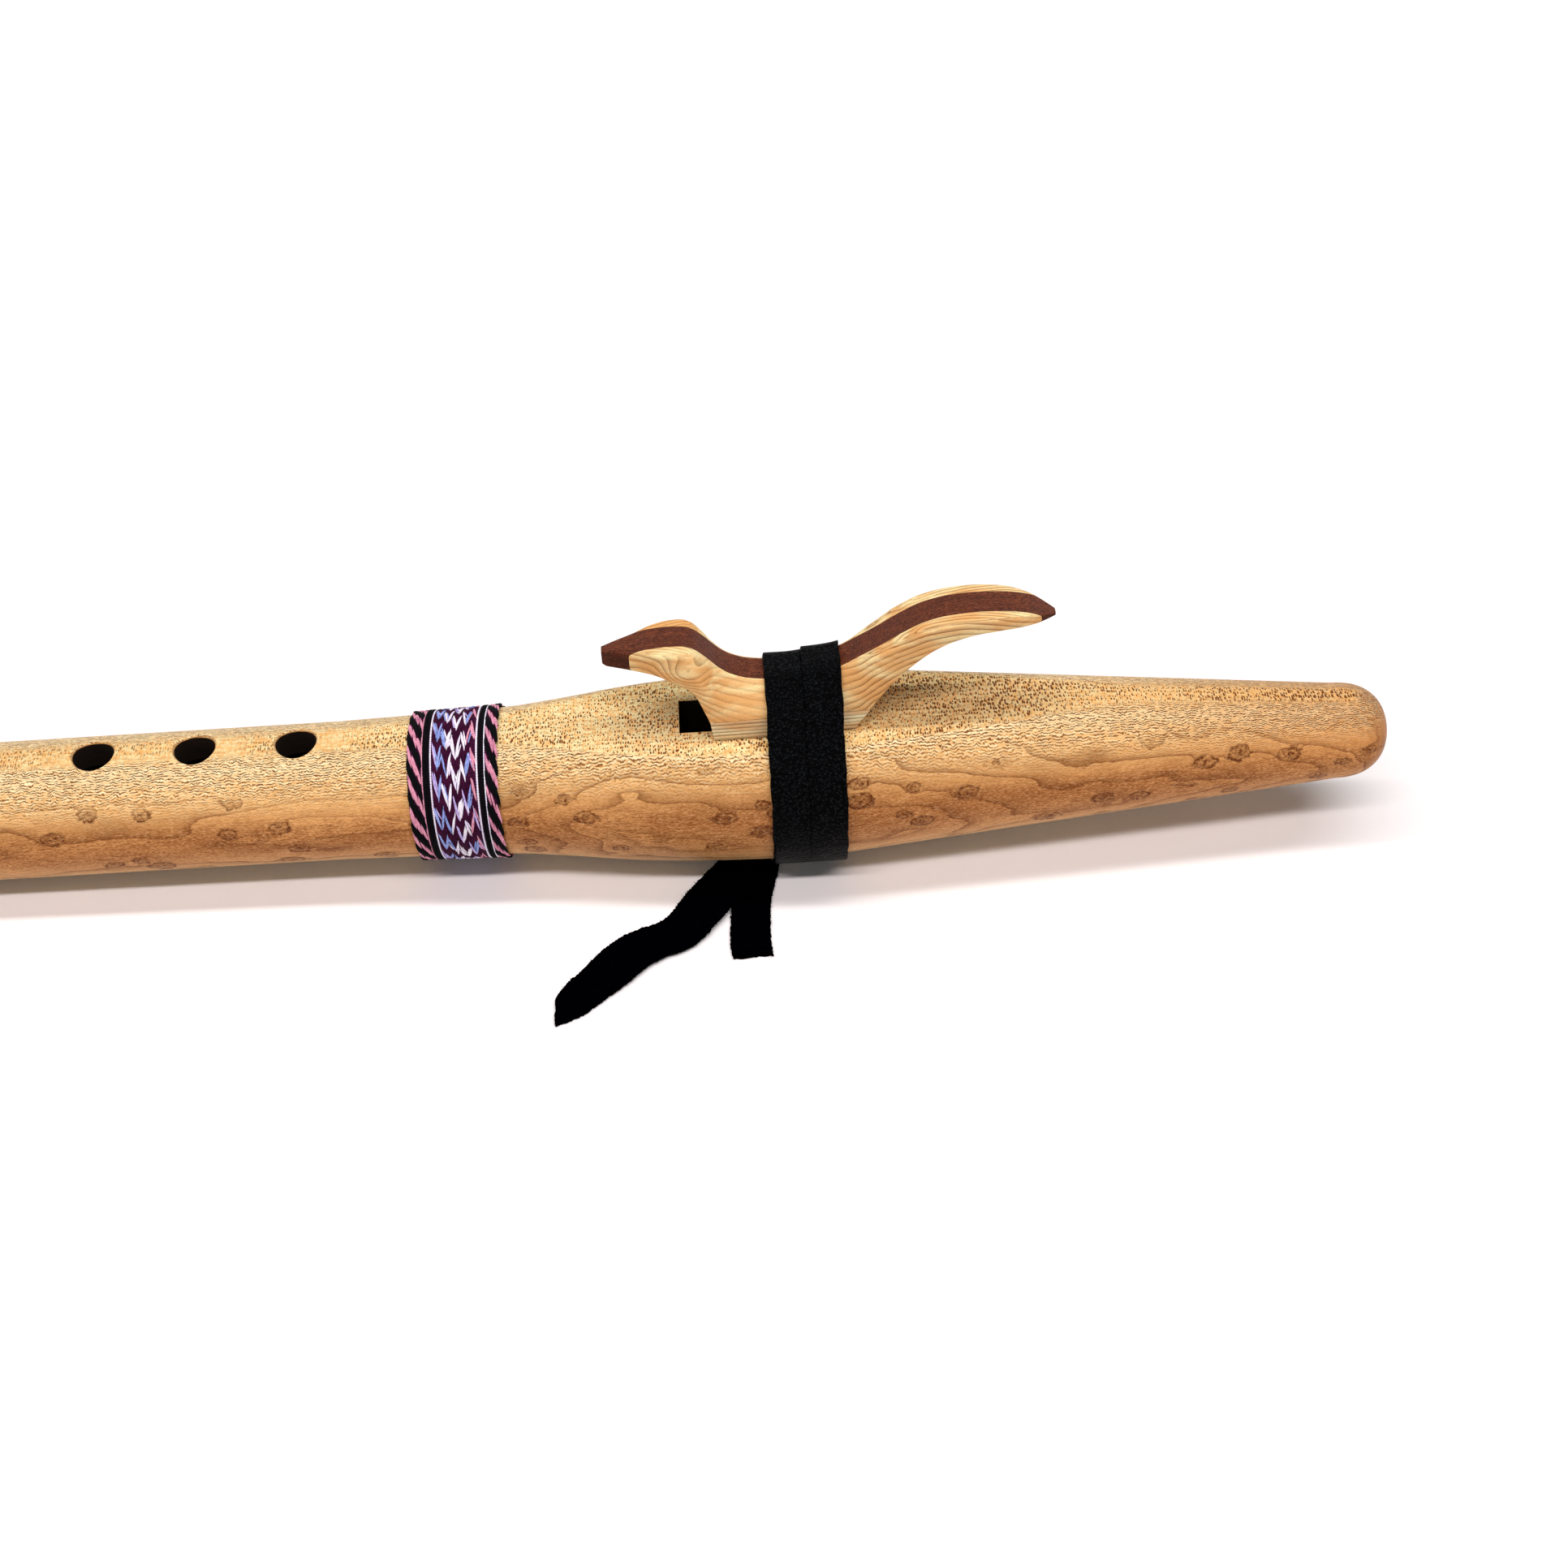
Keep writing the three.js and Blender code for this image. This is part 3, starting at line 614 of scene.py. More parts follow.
def leather_material():
    """Black leather with a pebbled grain, drawn out a little along the strap's width; its pebble tops carry
    painted highlights and its grooves painted shade.
    """
    t = new_tree("black_leather")
    sway = t.drift((0.6, 0.9, 0.9), 2.0, 0.6, (1.3, 1.5, 1.5))
    at = t.vector("ADD", t.place((1 / 0.9, 1 / 0.66, 1 / 0.66)), sway)
    inputs = {"Vector": at, "Scale": 1.0, "Smoothness": 0.25}
    grain = t.step(t.value("TexVoronoi", inputs, "Distance", feature="SMOOTH_F1"), 0.72, 0.0)
    height = grain + t.noise((0.14, 0.8, 0.8)) * 0.7
    # painted highlights on the pebble tops and painted shade in the grooves between them
    colour = t.ramp(grain, [
        (0.3, (0.0002, 0.0002, 0.0003)), (0.56, (0.003, 0.0034, 0.0045)),
        (0.95, (0.009, 0.0105, 0.0135))])
    rough = t.step(t.noise((0.1, 0.1, 0.1)), 0.3, 0.7, 0.3, 0.4)
    return t.finish(colour, rough, 0.02, t.bump(height, 0.3))


def suede_material():
    t = new_tree("black_suede")
    nap = t.noise((1.6, 1.6, 1.6), 3.0, 0.7)
    colour = t.ramp(nap, [(0.35, (0.0, 0.0, 0.0003)), (0.7, (0.0005, 0.0004, 0.0012))])
    stroked = t.step(t.noise((0.2, 0.2, 0.2)), 0.5, 0.7, 0.0, 0.35)
    colour = t.mix(stroked, colour, (0.0007, 0.0006, 0.0016))
    return t.finish(colour, 1.0, 0.0, t.bump(nap, 0.14))


def thread_material(name, light, dark, sheen=0.04):
    """Spun yarn: strands of two tones with a soft sheen."""
    t = new_tree(name)
    fibre = t.noise((5.5, 1.4, 1.4), 3.0, 0.65)
    shade = t.noise((0.35, 0.35, 0.35))
    colour = t.ramp(fibre * 0.7 + shade * 0.3, [(0.36, dark), (0.6, light)])
    return t.finish(colour, 0.7, 0.04, t.bump(fibre, 0.08), Sheen_Weight=sheen, Sheen_Roughness=0.4)


# Light tone, dark tone and sheen of each yarn.
THREADS = {
    "plum": ((0.06, 0.006, 0.036), (0.01, 0.001, 0.007), 0.01),
    "black": ((0.003, 0.003, 0.004), (0.0006, 0.0006, 0.001), 0.0),
    "pink": ((0.9, 0.42, 0.54), (0.42, 0.12, 0.22)),
    "white": ((1.0, 0.98, 1.0), (0.66, 0.55, 0.85)),
    "lavender": ((0.76, 0.64, 0.98), (0.26, 0.17, 0.52)),
    "blue": ((0.42, 0.52, 0.95), (0.09, 0.13, 0.42))}
maple = maple_material()
bore_shade = bore_material()
walnut = walnut_material()
ash = ash_material("ash_cheek", cheek_field, 2.2, 2.6, (1.0, 0.64, 0.265), (0.21, 0.058, 0.006))
ash_plate = ash_material("ash_plate", plate_field, 1.2, 2.4, (1.0, 0.74, 0.4), (0.13, 0.042, 0.01))
leather = leather_material()
suede = suede_material()
threads = {name: thread_material(f"{name}_thread", *look) for name, look in THREADS.items()}


# Body
def body_radius(x):
    grow = BULGE_RADIUS - CHAMBER_RADIUS
    swell = CHAMBER_RADIUS + grow * curve_at(SWELL, (x + SWELL_START) / (SWELL_START + TAPER_START))
    places = (-FOOT_LENGTH, -SWELL_START, TAPER_START, ROUNDING_START)
    radii = (FOOT_RADIUS, CHAMBER_RADIUS, CHAMBER_RADIUS + grow * SWELL[-1][1], MOUTH_RADIUS)
    straight = np.interp(x, places, radii)
    end_share = np.clip((x - ROUNDING_START) / MOUTH_ROUNDING, 0, 1)
    end = (1 - end_share ** MOUTH_ROUNDNESS) ** (1 / MOUTH_ROUNDNESS)
    return np.where((x > -SWELL_START) & (x <= TAPER_START), swell, straight) * end


def body_surface(x, y):
    """Height of the body's upper surface over a point."""
    round_top = np.sqrt(np.maximum(body_radius(x) ** 2 - y ** 2, 0))
    return smooth_min(round_top, np.where(x > -SWELL_START, NEST, 99.0))


def body_outline():
    edge = np.linspace(0, math.pi / 2, 6)
    straight = np.linspace(FOOT_EDGE - FOOT_LENGTH, -SWELL_START, 110)[1:]
    middle = np.linspace(-SWELL_START, ROUNDING_START, 200)[1:]
    end = ROUNDING_START + MOUTH_ROUNDING * np.sin(np.linspace(0, math.pi / 2, 27)[1:-1])
    stations = np.concatenate([straight, middle, end])
    return [
        (-FOOT_LENGTH, 0),
        *zip(FOOT_EDGE * (1 - np.cos(edge)) - FOOT_LENGTH, FOOT_RADIUS + FOOT_EDGE * (np.sin(edge) - 1)),
        *zip(stations, body_radius(stations)),
        (MOUTH_LENGTH, 0)]


def finger_places():
    low = FIRST_HOLE + 2 * HOLE_PITCH + HAND_GAP
    return [-start - HOLE_PITCH * k for start in (FIRST_HOLE, low) for k in range(3)]


# Growth of a finger hole's radius and height over the surface, from above the rim down to the wall.
RIM = [(1.0, 1.2), (0.62, 0.1), (0.36, -0.12), (0.16, -0.34), (0.04, -0.62), (0, -1.1)]


def finger_cutter(x):
    """A hole whose softened rim follows the body's surface; its wall below the rim is painted dark as shade.
    """
    steps = 64
    turn = round_angles(steps)
    rings = [np.stack([x + HOLE * np.cos(turn), HOLE * np.sin(turn), np.full(steps, 2.0)], 1)]
    for grow, rise in reversed(RIM):
        px, py = x + (HOLE + grow) * np.cos(turn), (HOLE + grow) * np.sin(turn)
        rings.append(np.stack([px, py, body_surface(px, py) + rise], 1))
    hole = solid("hole", loft(rings), maple)
    hole.data.materials.append(bore_shade)
    for face in hole.data.polygons:
        face.material_index = int(face.index < 2 * steps)
    return hole


def make_body():
    body = solid("flute_body", turned(body_outline(), 224, -SWELL_START), maple)
    inside = solid("inside", turned([
        (-FOOT_LENGTH - 1, 0), (-FOOT_LENGTH - 1, BORE + 1.6), (-FOOT_LENGTH + 0.6, BORE),
        (SOUND_LENGTH, BORE), (SOUND_LENGTH, 0)]), bore_shade)
    air = solid("air", turned([
        (WALL_END, 0), (WALL_END, BORE), (AIR_END, BORE), (BREATH_START, BREATH),
        (MOUTH_LENGTH - 1.6, BREATH), (MOUTH_LENGTH - 0.8, BREATH + 0.3),
        (MOUTH_LENGTH - 0.1, BREATH + 1.1), (MOUTH_LENGTH + 1, BREATH + 3), (MOUTH_LENGTH + 1, 0)]), bore_shade)
    sound = solid("sound", prism([
        (0, CUT_TOP), (0, EDGE_LEVEL), RAMP_FOOT, (RAMP_FOOT[0], 0), (SOUND_LENGTH, 0),
        (SOUND_LENGTH, CUT_TOP)]), bore_shade)
    way_out = solid("way_out", prism([
        (WALL_END, CUT_TOP), (WALL_END, 0), (EXIT_FOOT, 0), (EXIT_END, EDGE_LEVEL),
        (EXIT_END, CUT_TOP)]), bore_shade)
    combine(inside, sound, "UNION")
    combine(air, way_out, "UNION")
    for tool in (inside, air, *[finger_cutter(x) for x in finger_places()]):
        combine(body, tool, "DIFFERENCE")
    shade(body, 38)
    hand_in(body, "flute", "maple", "body_upper_half", "body_lower_half")


# Block
def rounded(corners, steps):
    """Outline through (corner, rounding) pairs with each corner bent into a short curve."""
    points = []
    for i, (at, rounding) in enumerate(corners):
        here = np.array(at)
        before = np.array(corners[i - 1][0]) - here
        after = np.array(corners[(i + 1) % len(corners)][0]) - here
        to_before, to_after = np.linalg.norm(before), np.linalg.norm(after)
        cut = min(rounding, to_before * 0.45, to_after * 0.45)
        start, end = here + before * cut / to_before, here + after * cut / to_after
        for t in np.arange(steps + 1) / steps:
            points.append((1 - t) ** 2 * start + 2 * t * (1 - t) * here + t * t * end)
    return points


def block_section(share, steps=6):
    top, under, shoulder = (SEAT + BLOCK_HEIGHT * curve_at(t, share) for t in (TOP, UNDER, SHOULDER))
    ridge, hem = (HALF_WIDTH * curve_at(t, share) for t in (RIDGE, HEM))
    on_nest = under - SEAT < 0.3
    half = [(hem, under, 0.3 if on_nest else 1.4), (hem, shoulder, 2.4), (ridge, top, 1.6)]
    right = [((y, z), rounding) for y, z, rounding in half]
    left = [((-y, z), rounding) for y, z, rounding in reversed(half)]
    return rounded(right + left, steps)


def block_loft():
    shares = set(np.round(np.linspace(0, 1, 201), 5)) | {p[0] for p in UNDER} | {0.0025, 0.9975}
    return loft([[(TIP + BLOCK_LENGTH * s, y, z) for y, z in block_section(s)] for s in sorted(shares)])


def slab(whole, name, material, *cuts):
    """The part of the block behind each (point, normal) plane, with the sawn faces closed."""
    obj = whole.copy()
    obj.data = whole.data.copy()
    obj.name = name
    scene.collection.objects.link(obj)
    work = bmesh.new()
    work.from_mesh(obj.data)
    for point, normal in cuts:
        parts = work.verts[:] + work.edges[:] + work.faces[:]
        result = bmesh.ops.bisect_plane(
            work, geom=parts, dist=1e-7, plane_co=Vector(point) * MM, plane_no=normal, clear_outer=True)
        edges = [g for g in result["geom_cut"] if isinstance(g, bmesh.types.BMEdge)]
        bmesh.ops.edgeloop_fill(work, edges=edges)
    bmesh.ops.recalc_face_normals(work, faces=work.faces)
    work.to_mesh(obj.data)
    work.free()
    obj.data.materials.append(material)
    shade(obj, 32)
    return obj


def make_block():
    whole = solid("whole", block_loft())
    over_base = ((0, 0, BASE_TOP + SEAM), (0, 0, -1))
    near, far = (0, 1, 0), (0, -1, 0)
    near_cheek = slab(whole, "cheek_near", ash, over_base, ((0, -CORE_SIDE - SEAM, 0), near))
    far_cheek = slab(whole, "cheek_far", ash, over_base, ((0, CORE_SIDE + SEAM, 0), far))
    core = slab(whole, "core", walnut, over_base, ((0, CORE_SIDE, 0), near), ((0, -CORE_SIDE, 0), far))
    base = slab(whole, "base_plate", ash_plate, ((0, 0, BASE_TOP - SEAM), (0, 0, 1)))
    flue = solid("flue", prism([
        (TIP, SEAT - 2), (EXIT_END, SEAT - 2), (EXIT_END, SEAT + FLUE_DEPTH), (TIP, SEAT + FLUE_DEPTH)]))
    combine(base, flue, "DIFFERENCE")
    shade(base, 32)
    bpy.data.objects.remove(whole)
    hand_in(near_cheek, "block", "ash", "block_cheek_near")
    hand_in(far_cheek, "block", "ash", "block_cheek_far")
    hand_in(core, "block", "walnut", "block_core")
    hand_in(base, "block", "ash", "block_base")


# Lace
ANGLE_STEP = 0.5
ANGLES = np.radians(np.arange(0, 360, ANGLE_STEP))
REACH_STEP = 0.4
REACH_X = np.arange(22.0, 44.01, REACH_STEP)


def taut_reach(x):
    """Distance from the axis to the taut outline of bulge and block at x, for each of ANGLES."""
    section = np.array(block_section((x - TIP) / BLOCK_LENGTH, 4))
    facing = section[:, 0, None] * -np.sin(ANGLES) + section[:, 1, None] * np.cos(ANGLES)
    support = np.maximum(BULGE_RADIUS, facing.max(0)) + LACE_GAP
    lean = np.cos(ANGLES[:, None] - ANGLES)
    return np.where(lean > 0.05, support[:, None] / np.where(lean > 0.05, lean, 1), 1e9).min(0)


REACH = np.array([taut_reach(x) for x in REACH_X])


def reach_at(x, angle):
    """Reach of the taut outline at x and at an angle in degrees, from the table."""
    gx = np.clip((x - REACH_X[0]) / REACH_STEP, 0, len(REACH_X) - 1.001)
    ga = angle % 360 / ANGLE_STEP
    i, j = gx.astype(int), ga.astype(int) % len(ANGLES)
    k = (j + 1) % len(ANGLES)
    fx, fa = gx - i, ga - np.floor(ga)
    low = REACH[i, j] * (1 - fa) + REACH[i, k] * fa
    high = REACH[i + 1, j] * (1 - fa) + REACH[i + 1, k] * fa
    return low * (1 - fx) + high * fx


def wavy(places, seed):
    """Smooth seeded ripple along a run."""
    chance = np.random.default_rng(seed)
    total = np.zeros(len(places))
    for wave in (0.11, 0.19, 0.31, 0.47):
        total += np.sin(places * wave + chance.uniform(0, 6.3)) * chance.uniform(0.3, 0.6)
    return total


# The strip's run, in degrees: its start, its length, and how far along it crosses from the front turn to
# the rear one.
LACE_START = 148.5
LACE_RUN = 711
CROSS_FROM, CROSS_TO = 218.5, 293.5
OVERLAP_LIFT = 1.8
LACE_WAVES = ((7, 0.05), (13, 0.07), (22, 0.06), (41, 0.05))


def lace_run():
    """Angle, place, lift over the crossing and share of the rear turn along the strip."""
    gone = np.arange(0, LACE_RUN + 0.01, 1.0)
    round_from, round_to = CROSS_FROM + 360, CROSS_TO + 360
    rear = smooth_step(gone, CROSS_FROM, CROSS_TO) - smooth_step(gone, round_from, round_to)
    lift = smooth_step(gone, round_from - 15, round_from) - smooth_step(gone, round_to, round_to + 15)
    return LACE_START - gone, FRONT_TURN + LACE_PITCH * rear, OVERLAP_LIFT * lift, rear


def lace_outline():
    """Cross-section of the strip, across it and off the surface."""
    half, inset, thick = LACE_WIDTH / 2, 0.35, LACE_THICKNESS
    top = np.linspace(inset - half, half - inset, 15)
    edge = [(half - 0.1, thick - 0.12), (half, thick * 0.6), (half - 0.04, 0.25)]
    outline = [(a, thick) for a in top] + edge
    outline += [(a, 0.0) for a in top[::-2]] + [(-a, off) for a, off in reversed(edge)]
    return np.array(outline).T


def make_lace():
    angle, x, lift, rear = lace_run()
    across, off = lace_outline()
    waver = sum(np.sin(np.radians(angle) * n + 1.7 * n) * size for n, size in LACE_WAVES)
    px = (x + waver)[:, None] + across
    pa = np.repeat(angle[:, None], len(across), 1)
    reach = reach_at(px, pa) + off + lift[:, None]
    from_top = (angle + 180) % 360 - 180
    tip_up = 0.9 * rear * np.exp(-(from_top / 28) ** 2)
    reach += tip_up[:, None] * (0.5 - across / LACE_WIDTH)
    reach += 0.05 * wavy(angle, 5)[:, None] * (off > 0.5)
    turn = np.radians(pa)
    points = np.stack([px, -np.sin(turn) * reach, np.cos(turn) * reach], 2)

    # the turns are pressed flat where they would go below the table
    normal = np.array(FLUTE.to_3x3().inverted() @ Vector((0, 0, 1)))
    lowest = np.array([FRONT_TURN, 0, -STAND]) @ normal
    push = np.maximum(lowest + 0.02 - points @ normal, 0)
    lace = solid("lace_turns", loft(points + push[:, :, None] * normal), leather, 50)
    hand_in(lace, "block", "black_leather", "lace_winding")


# Woven band
BAND_FROM, BAND_TO, BAND_GAP = -71.6, -48.3, 0.3
GIRTH = 2 * math.pi * (CHAMBER_RADIUS + BAND_GAP)
REPEATS = 15
PERIOD = GIRTH / REPEATS


def on_band(x, around, height):
    """Points on the band: around is the distance in millimetres from the top, down the near side."""
    radius = body_radius(x) + BAND_GAP + height
    turn = around / (CHAMBER_RADIUS + BAND_GAP)
    return np.stack(np.broadcast_arrays(x, -radius * np.sin(turn), radius * np.cos(turn)), -1)


class Yarn:
    """Strands of one colour, gathered into one mesh."""

    def __init__(self):
        self.points, self.faces = [], []

    def strand(self, x, around, height, radius, closed=False):
        """A slightly flattened tube through places, with a radius at each."""
        start, count, sides = len(self.points), len(x), 6
        along = (0 * x, 0 * x + 1) if closed else (np.gradient(x), np.gradient(around))
        dx, da = unit(np.stack(along, 1)).T[..., None]
        turn = round_angles(sides)
        out, up = radius[:, None] * np.cos(turn), 0.8 * radius[:, None] * np.sin(turn)
        points = on_band(x[:, None] + da * out, around[:, None] - dx * out, height[:, None] + up)
        self.points += points.reshape(-1, 3).tolist()
        faces = ring_faces(count, sides, start, True) if closed else capped_faces(count, sides, start)
        self.faces += faces

    def float_at(self, chance, x, around, length, width, slant, height):
        """A lens-shaped float of three strands, at a slant."""
        s = np.linspace(-0.5, 0.5, 11)
        swell = np.cos(math.pi * s) ** 0.7
        slant += chance.uniform(-0.12, 0.12)
        for lane in (-1, 0, 1):
            self.strand(
                x + slant * s + lane * width * 0.31 * swell,
                around + s * (length - 0.5 * abs(lane)) + chance.uniform(-0.25, 0.25),
                height - 0.28 + 0.34 * swell - 0.05 * abs(lane), 0.04 + width * 0.2 * swell)

    def cord(self, x, width, height, twists):
        """A twisted cord all the way round."""
        share = np.arange(420) / 420
        for ply in (0, math.pi):
            turn = twists * 2 * math.pi * share + ply + x
            out, up = 0.22 * width * np.cos(turn), 0.1 * width * np.sin(turn)
            self.strand(x + out, GIRTH * share, height + up, np.full(420, 0.27 * width), closed=True)


def band_ground():
    """Closed cloth ring under the floats."""
    low, high = 0.05, 0.42
    profile = [(BAND_FROM + 0.2, low), (BAND_FROM + 0.1, 0.2), (BAND_FROM + 0.3, high)]
    profile += [(x, high) for x in np.linspace(BAND_FROM + 0.8, BAND_TO - 0.8, 30)]
    profile += [(BAND_TO - 0.3, high), (BAND_TO - 0.1, 0.2), (BAND_TO - 0.2, low)]
    steps = 200
    x, height = np.array(profile).T[..., None]
    points = on_band(x, GIRTH * np.arange(steps) / steps, height).reshape(-1, 3)
    shape = points, ring_faces(len(profile), steps, closed=True)
    hand_in(solid("band_ground", shape, threads["plum"], 50), "flute", "woven_cloth", "woven_band")


# Chevron columns: phase as a share of a repeat, then the usual and the other light colour.
COLUMNS = [
    (0.0, "blue", "lavender"), (0.1, "blue", "blue"), (0.34, "white", "blue"),
    (0.42, "white", "white"), (0.7, "lavender", "white"), (0.8, "white", "white"),
    (0.52, "lavender", "white"), (0.42, "blue", "pink"), (0.18, "pink", "lavender")]
CHEVRONS = (-65.1, -53.8)

# Slanted borders: from, to and phase.
BORDERS = [(BAND_FROM + 0.1, -67.9, 0.0), (-51.1, BAND_TO + 0.35, 0.35)]
BORDER_LANES = 3

# Cords between the fields and along the edges: colour, place, width, height and twists.
CORDS = [
    ("black", -67.1, 0.98, 0.55, 70), ("black", -66.25, 0.98, 0.55, 70),
    ("black", -52.6, 0.86, 0.55, 70), ("black", -51.85, 0.86, 0.55, 70),
    ("pink", -67.72, 0.42, 0.55, 90), ("white", -65.45, 0.55, 0.55, 90),
    ("white", -53.35, 0.6, 0.55, 90), ("white", -51.35, 0.42, 0.55, 90),
    ("black", BAND_FROM + 0.16, 0.45, 0.3, 60), ("black", BAND_TO - 0.16, 0.45, 0.3, 60)]


def make_band():
    band_ground()
    chance = np.random.default_rng(7)
    yarns = {name: Yarn() for name in threads}

    # chevrons: light floats over plum ones, slanting to and fro from column to column
    step = (CHEVRONS[1] - CHEVRONS[0]) / len(COLUMNS)
    for c, (phase, *tones) in enumerate(COLUMNS):
        x = CHEVRONS[0] + step * (c + 0.5)
        lean = step if c % 2 == 0 else -step
        for k in range(REPEATS):
            at = (k + phase) * PERIOD + chance.uniform(-0.7, 0.7)
            tone = tones[int(chance.uniform() < 0.45)]
            yarns[tone].float_at(
                chance, x + chance.uniform(-0.1, 0.1), at, PERIOD * chance.uniform(0.78, 1.08),
                step * chance.uniform(0.36, 0.53), lean * 0.95, 0.66)
            for side in (-0.36, 0.36):
                if chance.uniform() < 0.38:
                    continue
                thin = tones[int(chance.uniform() < 0.5)]
                yarns[thin].float_at(
                    chance, x + side * chance.uniform(0.6, 1.2) * step, at + chance.uniform(-1.3, 1.3),
                    PERIOD * chance.uniform(0.4, 0.8), step * 0.22, lean * 0.9, 0.62)
            yarns["plum"].float_at(chance, x, at + PERIOD * 0.5, PERIOD * 0.66, step, lean * 0.8, 0.52)

    # slanted black and pink floats along both borders
    for low, high, phase in BORDERS:
        step = (high - low) / BORDER_LANES
        for lane in range(BORDER_LANES):
            x = low + step * (lane + 0.5)
            for k in range(REPEATS):
                at = (k + 0.3 * lane + phase) * PERIOD + chance.uniform(-0.5, 0.5)
                yarns["pink"].float_at(
                    chance, x + chance.uniform(-0.1, 0.1), at, PERIOD * chance.uniform(0.66, 0.9),
                    step * chance.uniform(0.45, 0.8), step, 0.6)
                yarns["black"].float_at(
                    chance, x, at + PERIOD * 0.5, PERIOD * 0.8, step * 1.02, step * 1.1, 0.62)
    for name, *cord in CORDS:
        yarns[name].cord(*cord)
    for name, yarn in yarns.items():
        strands = solid(f"band_{name}", (yarn.points, yarn.faces), threads[name], 60)
        hand_in(strands, "flute", "woven_cloth", "woven_band")


# Tails and knot, in the row frame: both edges of each tail and the height along it.
LONG_TAIL = (
    [(-17.5, -9.0), (-21.2, -13.6), (-25.1, -18.7), (-28.9, -23.9), (-32.7, -29.6), (-36.2, -33.2),
     (-40.2, -34.6), (-43.9, -36.0), (-48.1, -38.6), (-52.9, -43.1), (-57.0, -48.4), (-61.1, -52.9),
     (-63.8, -57.4)],
    [(-6.6, -12.7), (-12.6, -19.4), (-15.4, -25.4), (-18.0, -30.6), (-21.9, -35.7), (-25.7, -40.2),
     (-30.0, -43.4), (-34.9, -45.3), (-39.4, -48.2), (-45.1, -53.7), (-51.0, -58.6), (-57.2, -63.8),
     (-64.0, -66.9)])
LONG_LIFT = [(0, 1.7), (0.3, 1.7), (0.42, 0.7), (0.52, 0.12), (0.6, 0), (1, 0)]
SHORT_TAIL = (
    [(-14.4, -13.9), (-15.2, -17.5), (-16.6, -25.0), (-17.3, -31.0), (-17.8, -38.0), (-17.9, -42.4),
     (-17.4, -46.5)],
    [(-3.2, -11.1), (-3.8, -14.7), (-5.2, -20.8), (-6.4, -26.6), (-7.0, -33.4), (-7.2, -39.9),
     (-6.9, -45.7)])
SHORT_LIFT = [(0, 0), (0.5, 0), (1, 0)]
TAIL_THICKNESS = 1.3
FIBRES = 240


def resample(points, steps):
    """Equal steps along a smooth curve through points."""
    points = np.asarray(points, float)
    gone = np.concatenate([[0], np.cumsum(np.linalg.norm(np.diff(points, axis=0), axis=1))])
    at = np.linspace(0, gone[-1], steps)
    return np.stack([curve_at(np.stack([gone, values], 1), at) for values in points.T], 1)


def make_tail(name, sides, lift_at, curl, seed):
    """A flat suede strap between two ragged edges; curl raises the left and the right one."""
    steps, lanes, thick = 260, 15, TAIL_THICKNESS
    chance = np.random.default_rng(seed)
    left, right = edges = [resample(side, steps) for side in sides]
    share = np.linspace(0, 1, steps)
    for edge, way in zip(edges, (-1, 1)):
        rag = 0.1 * wavy(share * 900, seed + way) + chance.normal(0, 0.09, steps)
        edge += way * unit(right - left) * rag[:, None]
    lift = curve_at(lift_at, share)
    curls = curl[0] * np.sin(math.pi * share) ** 2, curl[1] * np.exp(-((share - 0.62) / 0.16) ** 2)
    s = np.linspace(0, 1, lanes)
    ragged = np.zeros((steps, lanes))
    ragged[-1] = 0.25 * chance.normal(0, 1, lanes)
    ahead = unit(left[-1] + right[-1] - left[-8] - right[-8])
    flat = left[:, None] * (1 - s)[:, None] + right[:, None] * s[:, None] + ragged[:, :, None] * ahead
    base = lift[:, None] + curls[0][:, None] * (1 - s) ** 3 + curls[1][:, None] * s ** 3
    soft = 0.25 * (2 * s - 1) ** 8
    top = base + thick - soft + 0.06 * np.sin(0.9 * flat[:, :, 0] + 0.5 * flat[:, :, 1])
    rows = np.hstack([np.dstack([flat, top]), np.dstack([flat, base + soft + 0.02])[:, ::-1]])
    tail = solid(name, loft(rows), suede, 60, WORLD)

    # loose fibres along both cut edges
    points, faces = [], []
    for _ in range(FIBRES):
        i = int(chance.uniform(0.05, 0.995) * steps)
        side = int(chance.uniform() < 0.4)
        root = np.array([*edges[side][i], lift[i] + chance.uniform(0.3, thick) + curls[side][i]])
        out = unit(right[i] - left[i]) * (1 if side else -1)
        out = np.array([*out, chance.uniform(-0.3, 0.5)])
        out[:2] += chance.normal(0, 0.6, 2)
        hair(points, faces, root - 0.25 * out, unit(out), chance.uniform(0.3, 0.95), chance)
    fuzz = solid(f"{name}_fibres", (points, faces), suede, None, WORLD)
    for piece in (tail, fuzz):
        hand_in(piece, "block", "black_leather", name)


def hair(points, faces, root, way, length, chance):
    """A tapering three-sided fibre that bends a little; it never goes below the table."""
    side = unit(np.cross(way, (0, 0, 1)))
    up = np.cross(side, way)
    bend = side * chance.normal(0, 0.5) + up * chance.normal(0, 0.3)
    faces += capped_faces(3, 3, len(points))
    for share in (0.0, 0.5, 1.0):
        middle = root + (way * share + bend * share * share) * length
        radius = 0.055 * (1 - 0.75 * share)
        for turn in (0, 2.09, 4.19):
            p = middle + radius * (side * math.cos(turn) + up * math.sin(turn))
            points.append((p[0], p[1], max(p[2], 0.03)))


def squared(wave):
    """A sine or cosine with flatter crests, for a section that is nearly square."""
    return np.sign(wave) * np.abs(wave) ** 0.6


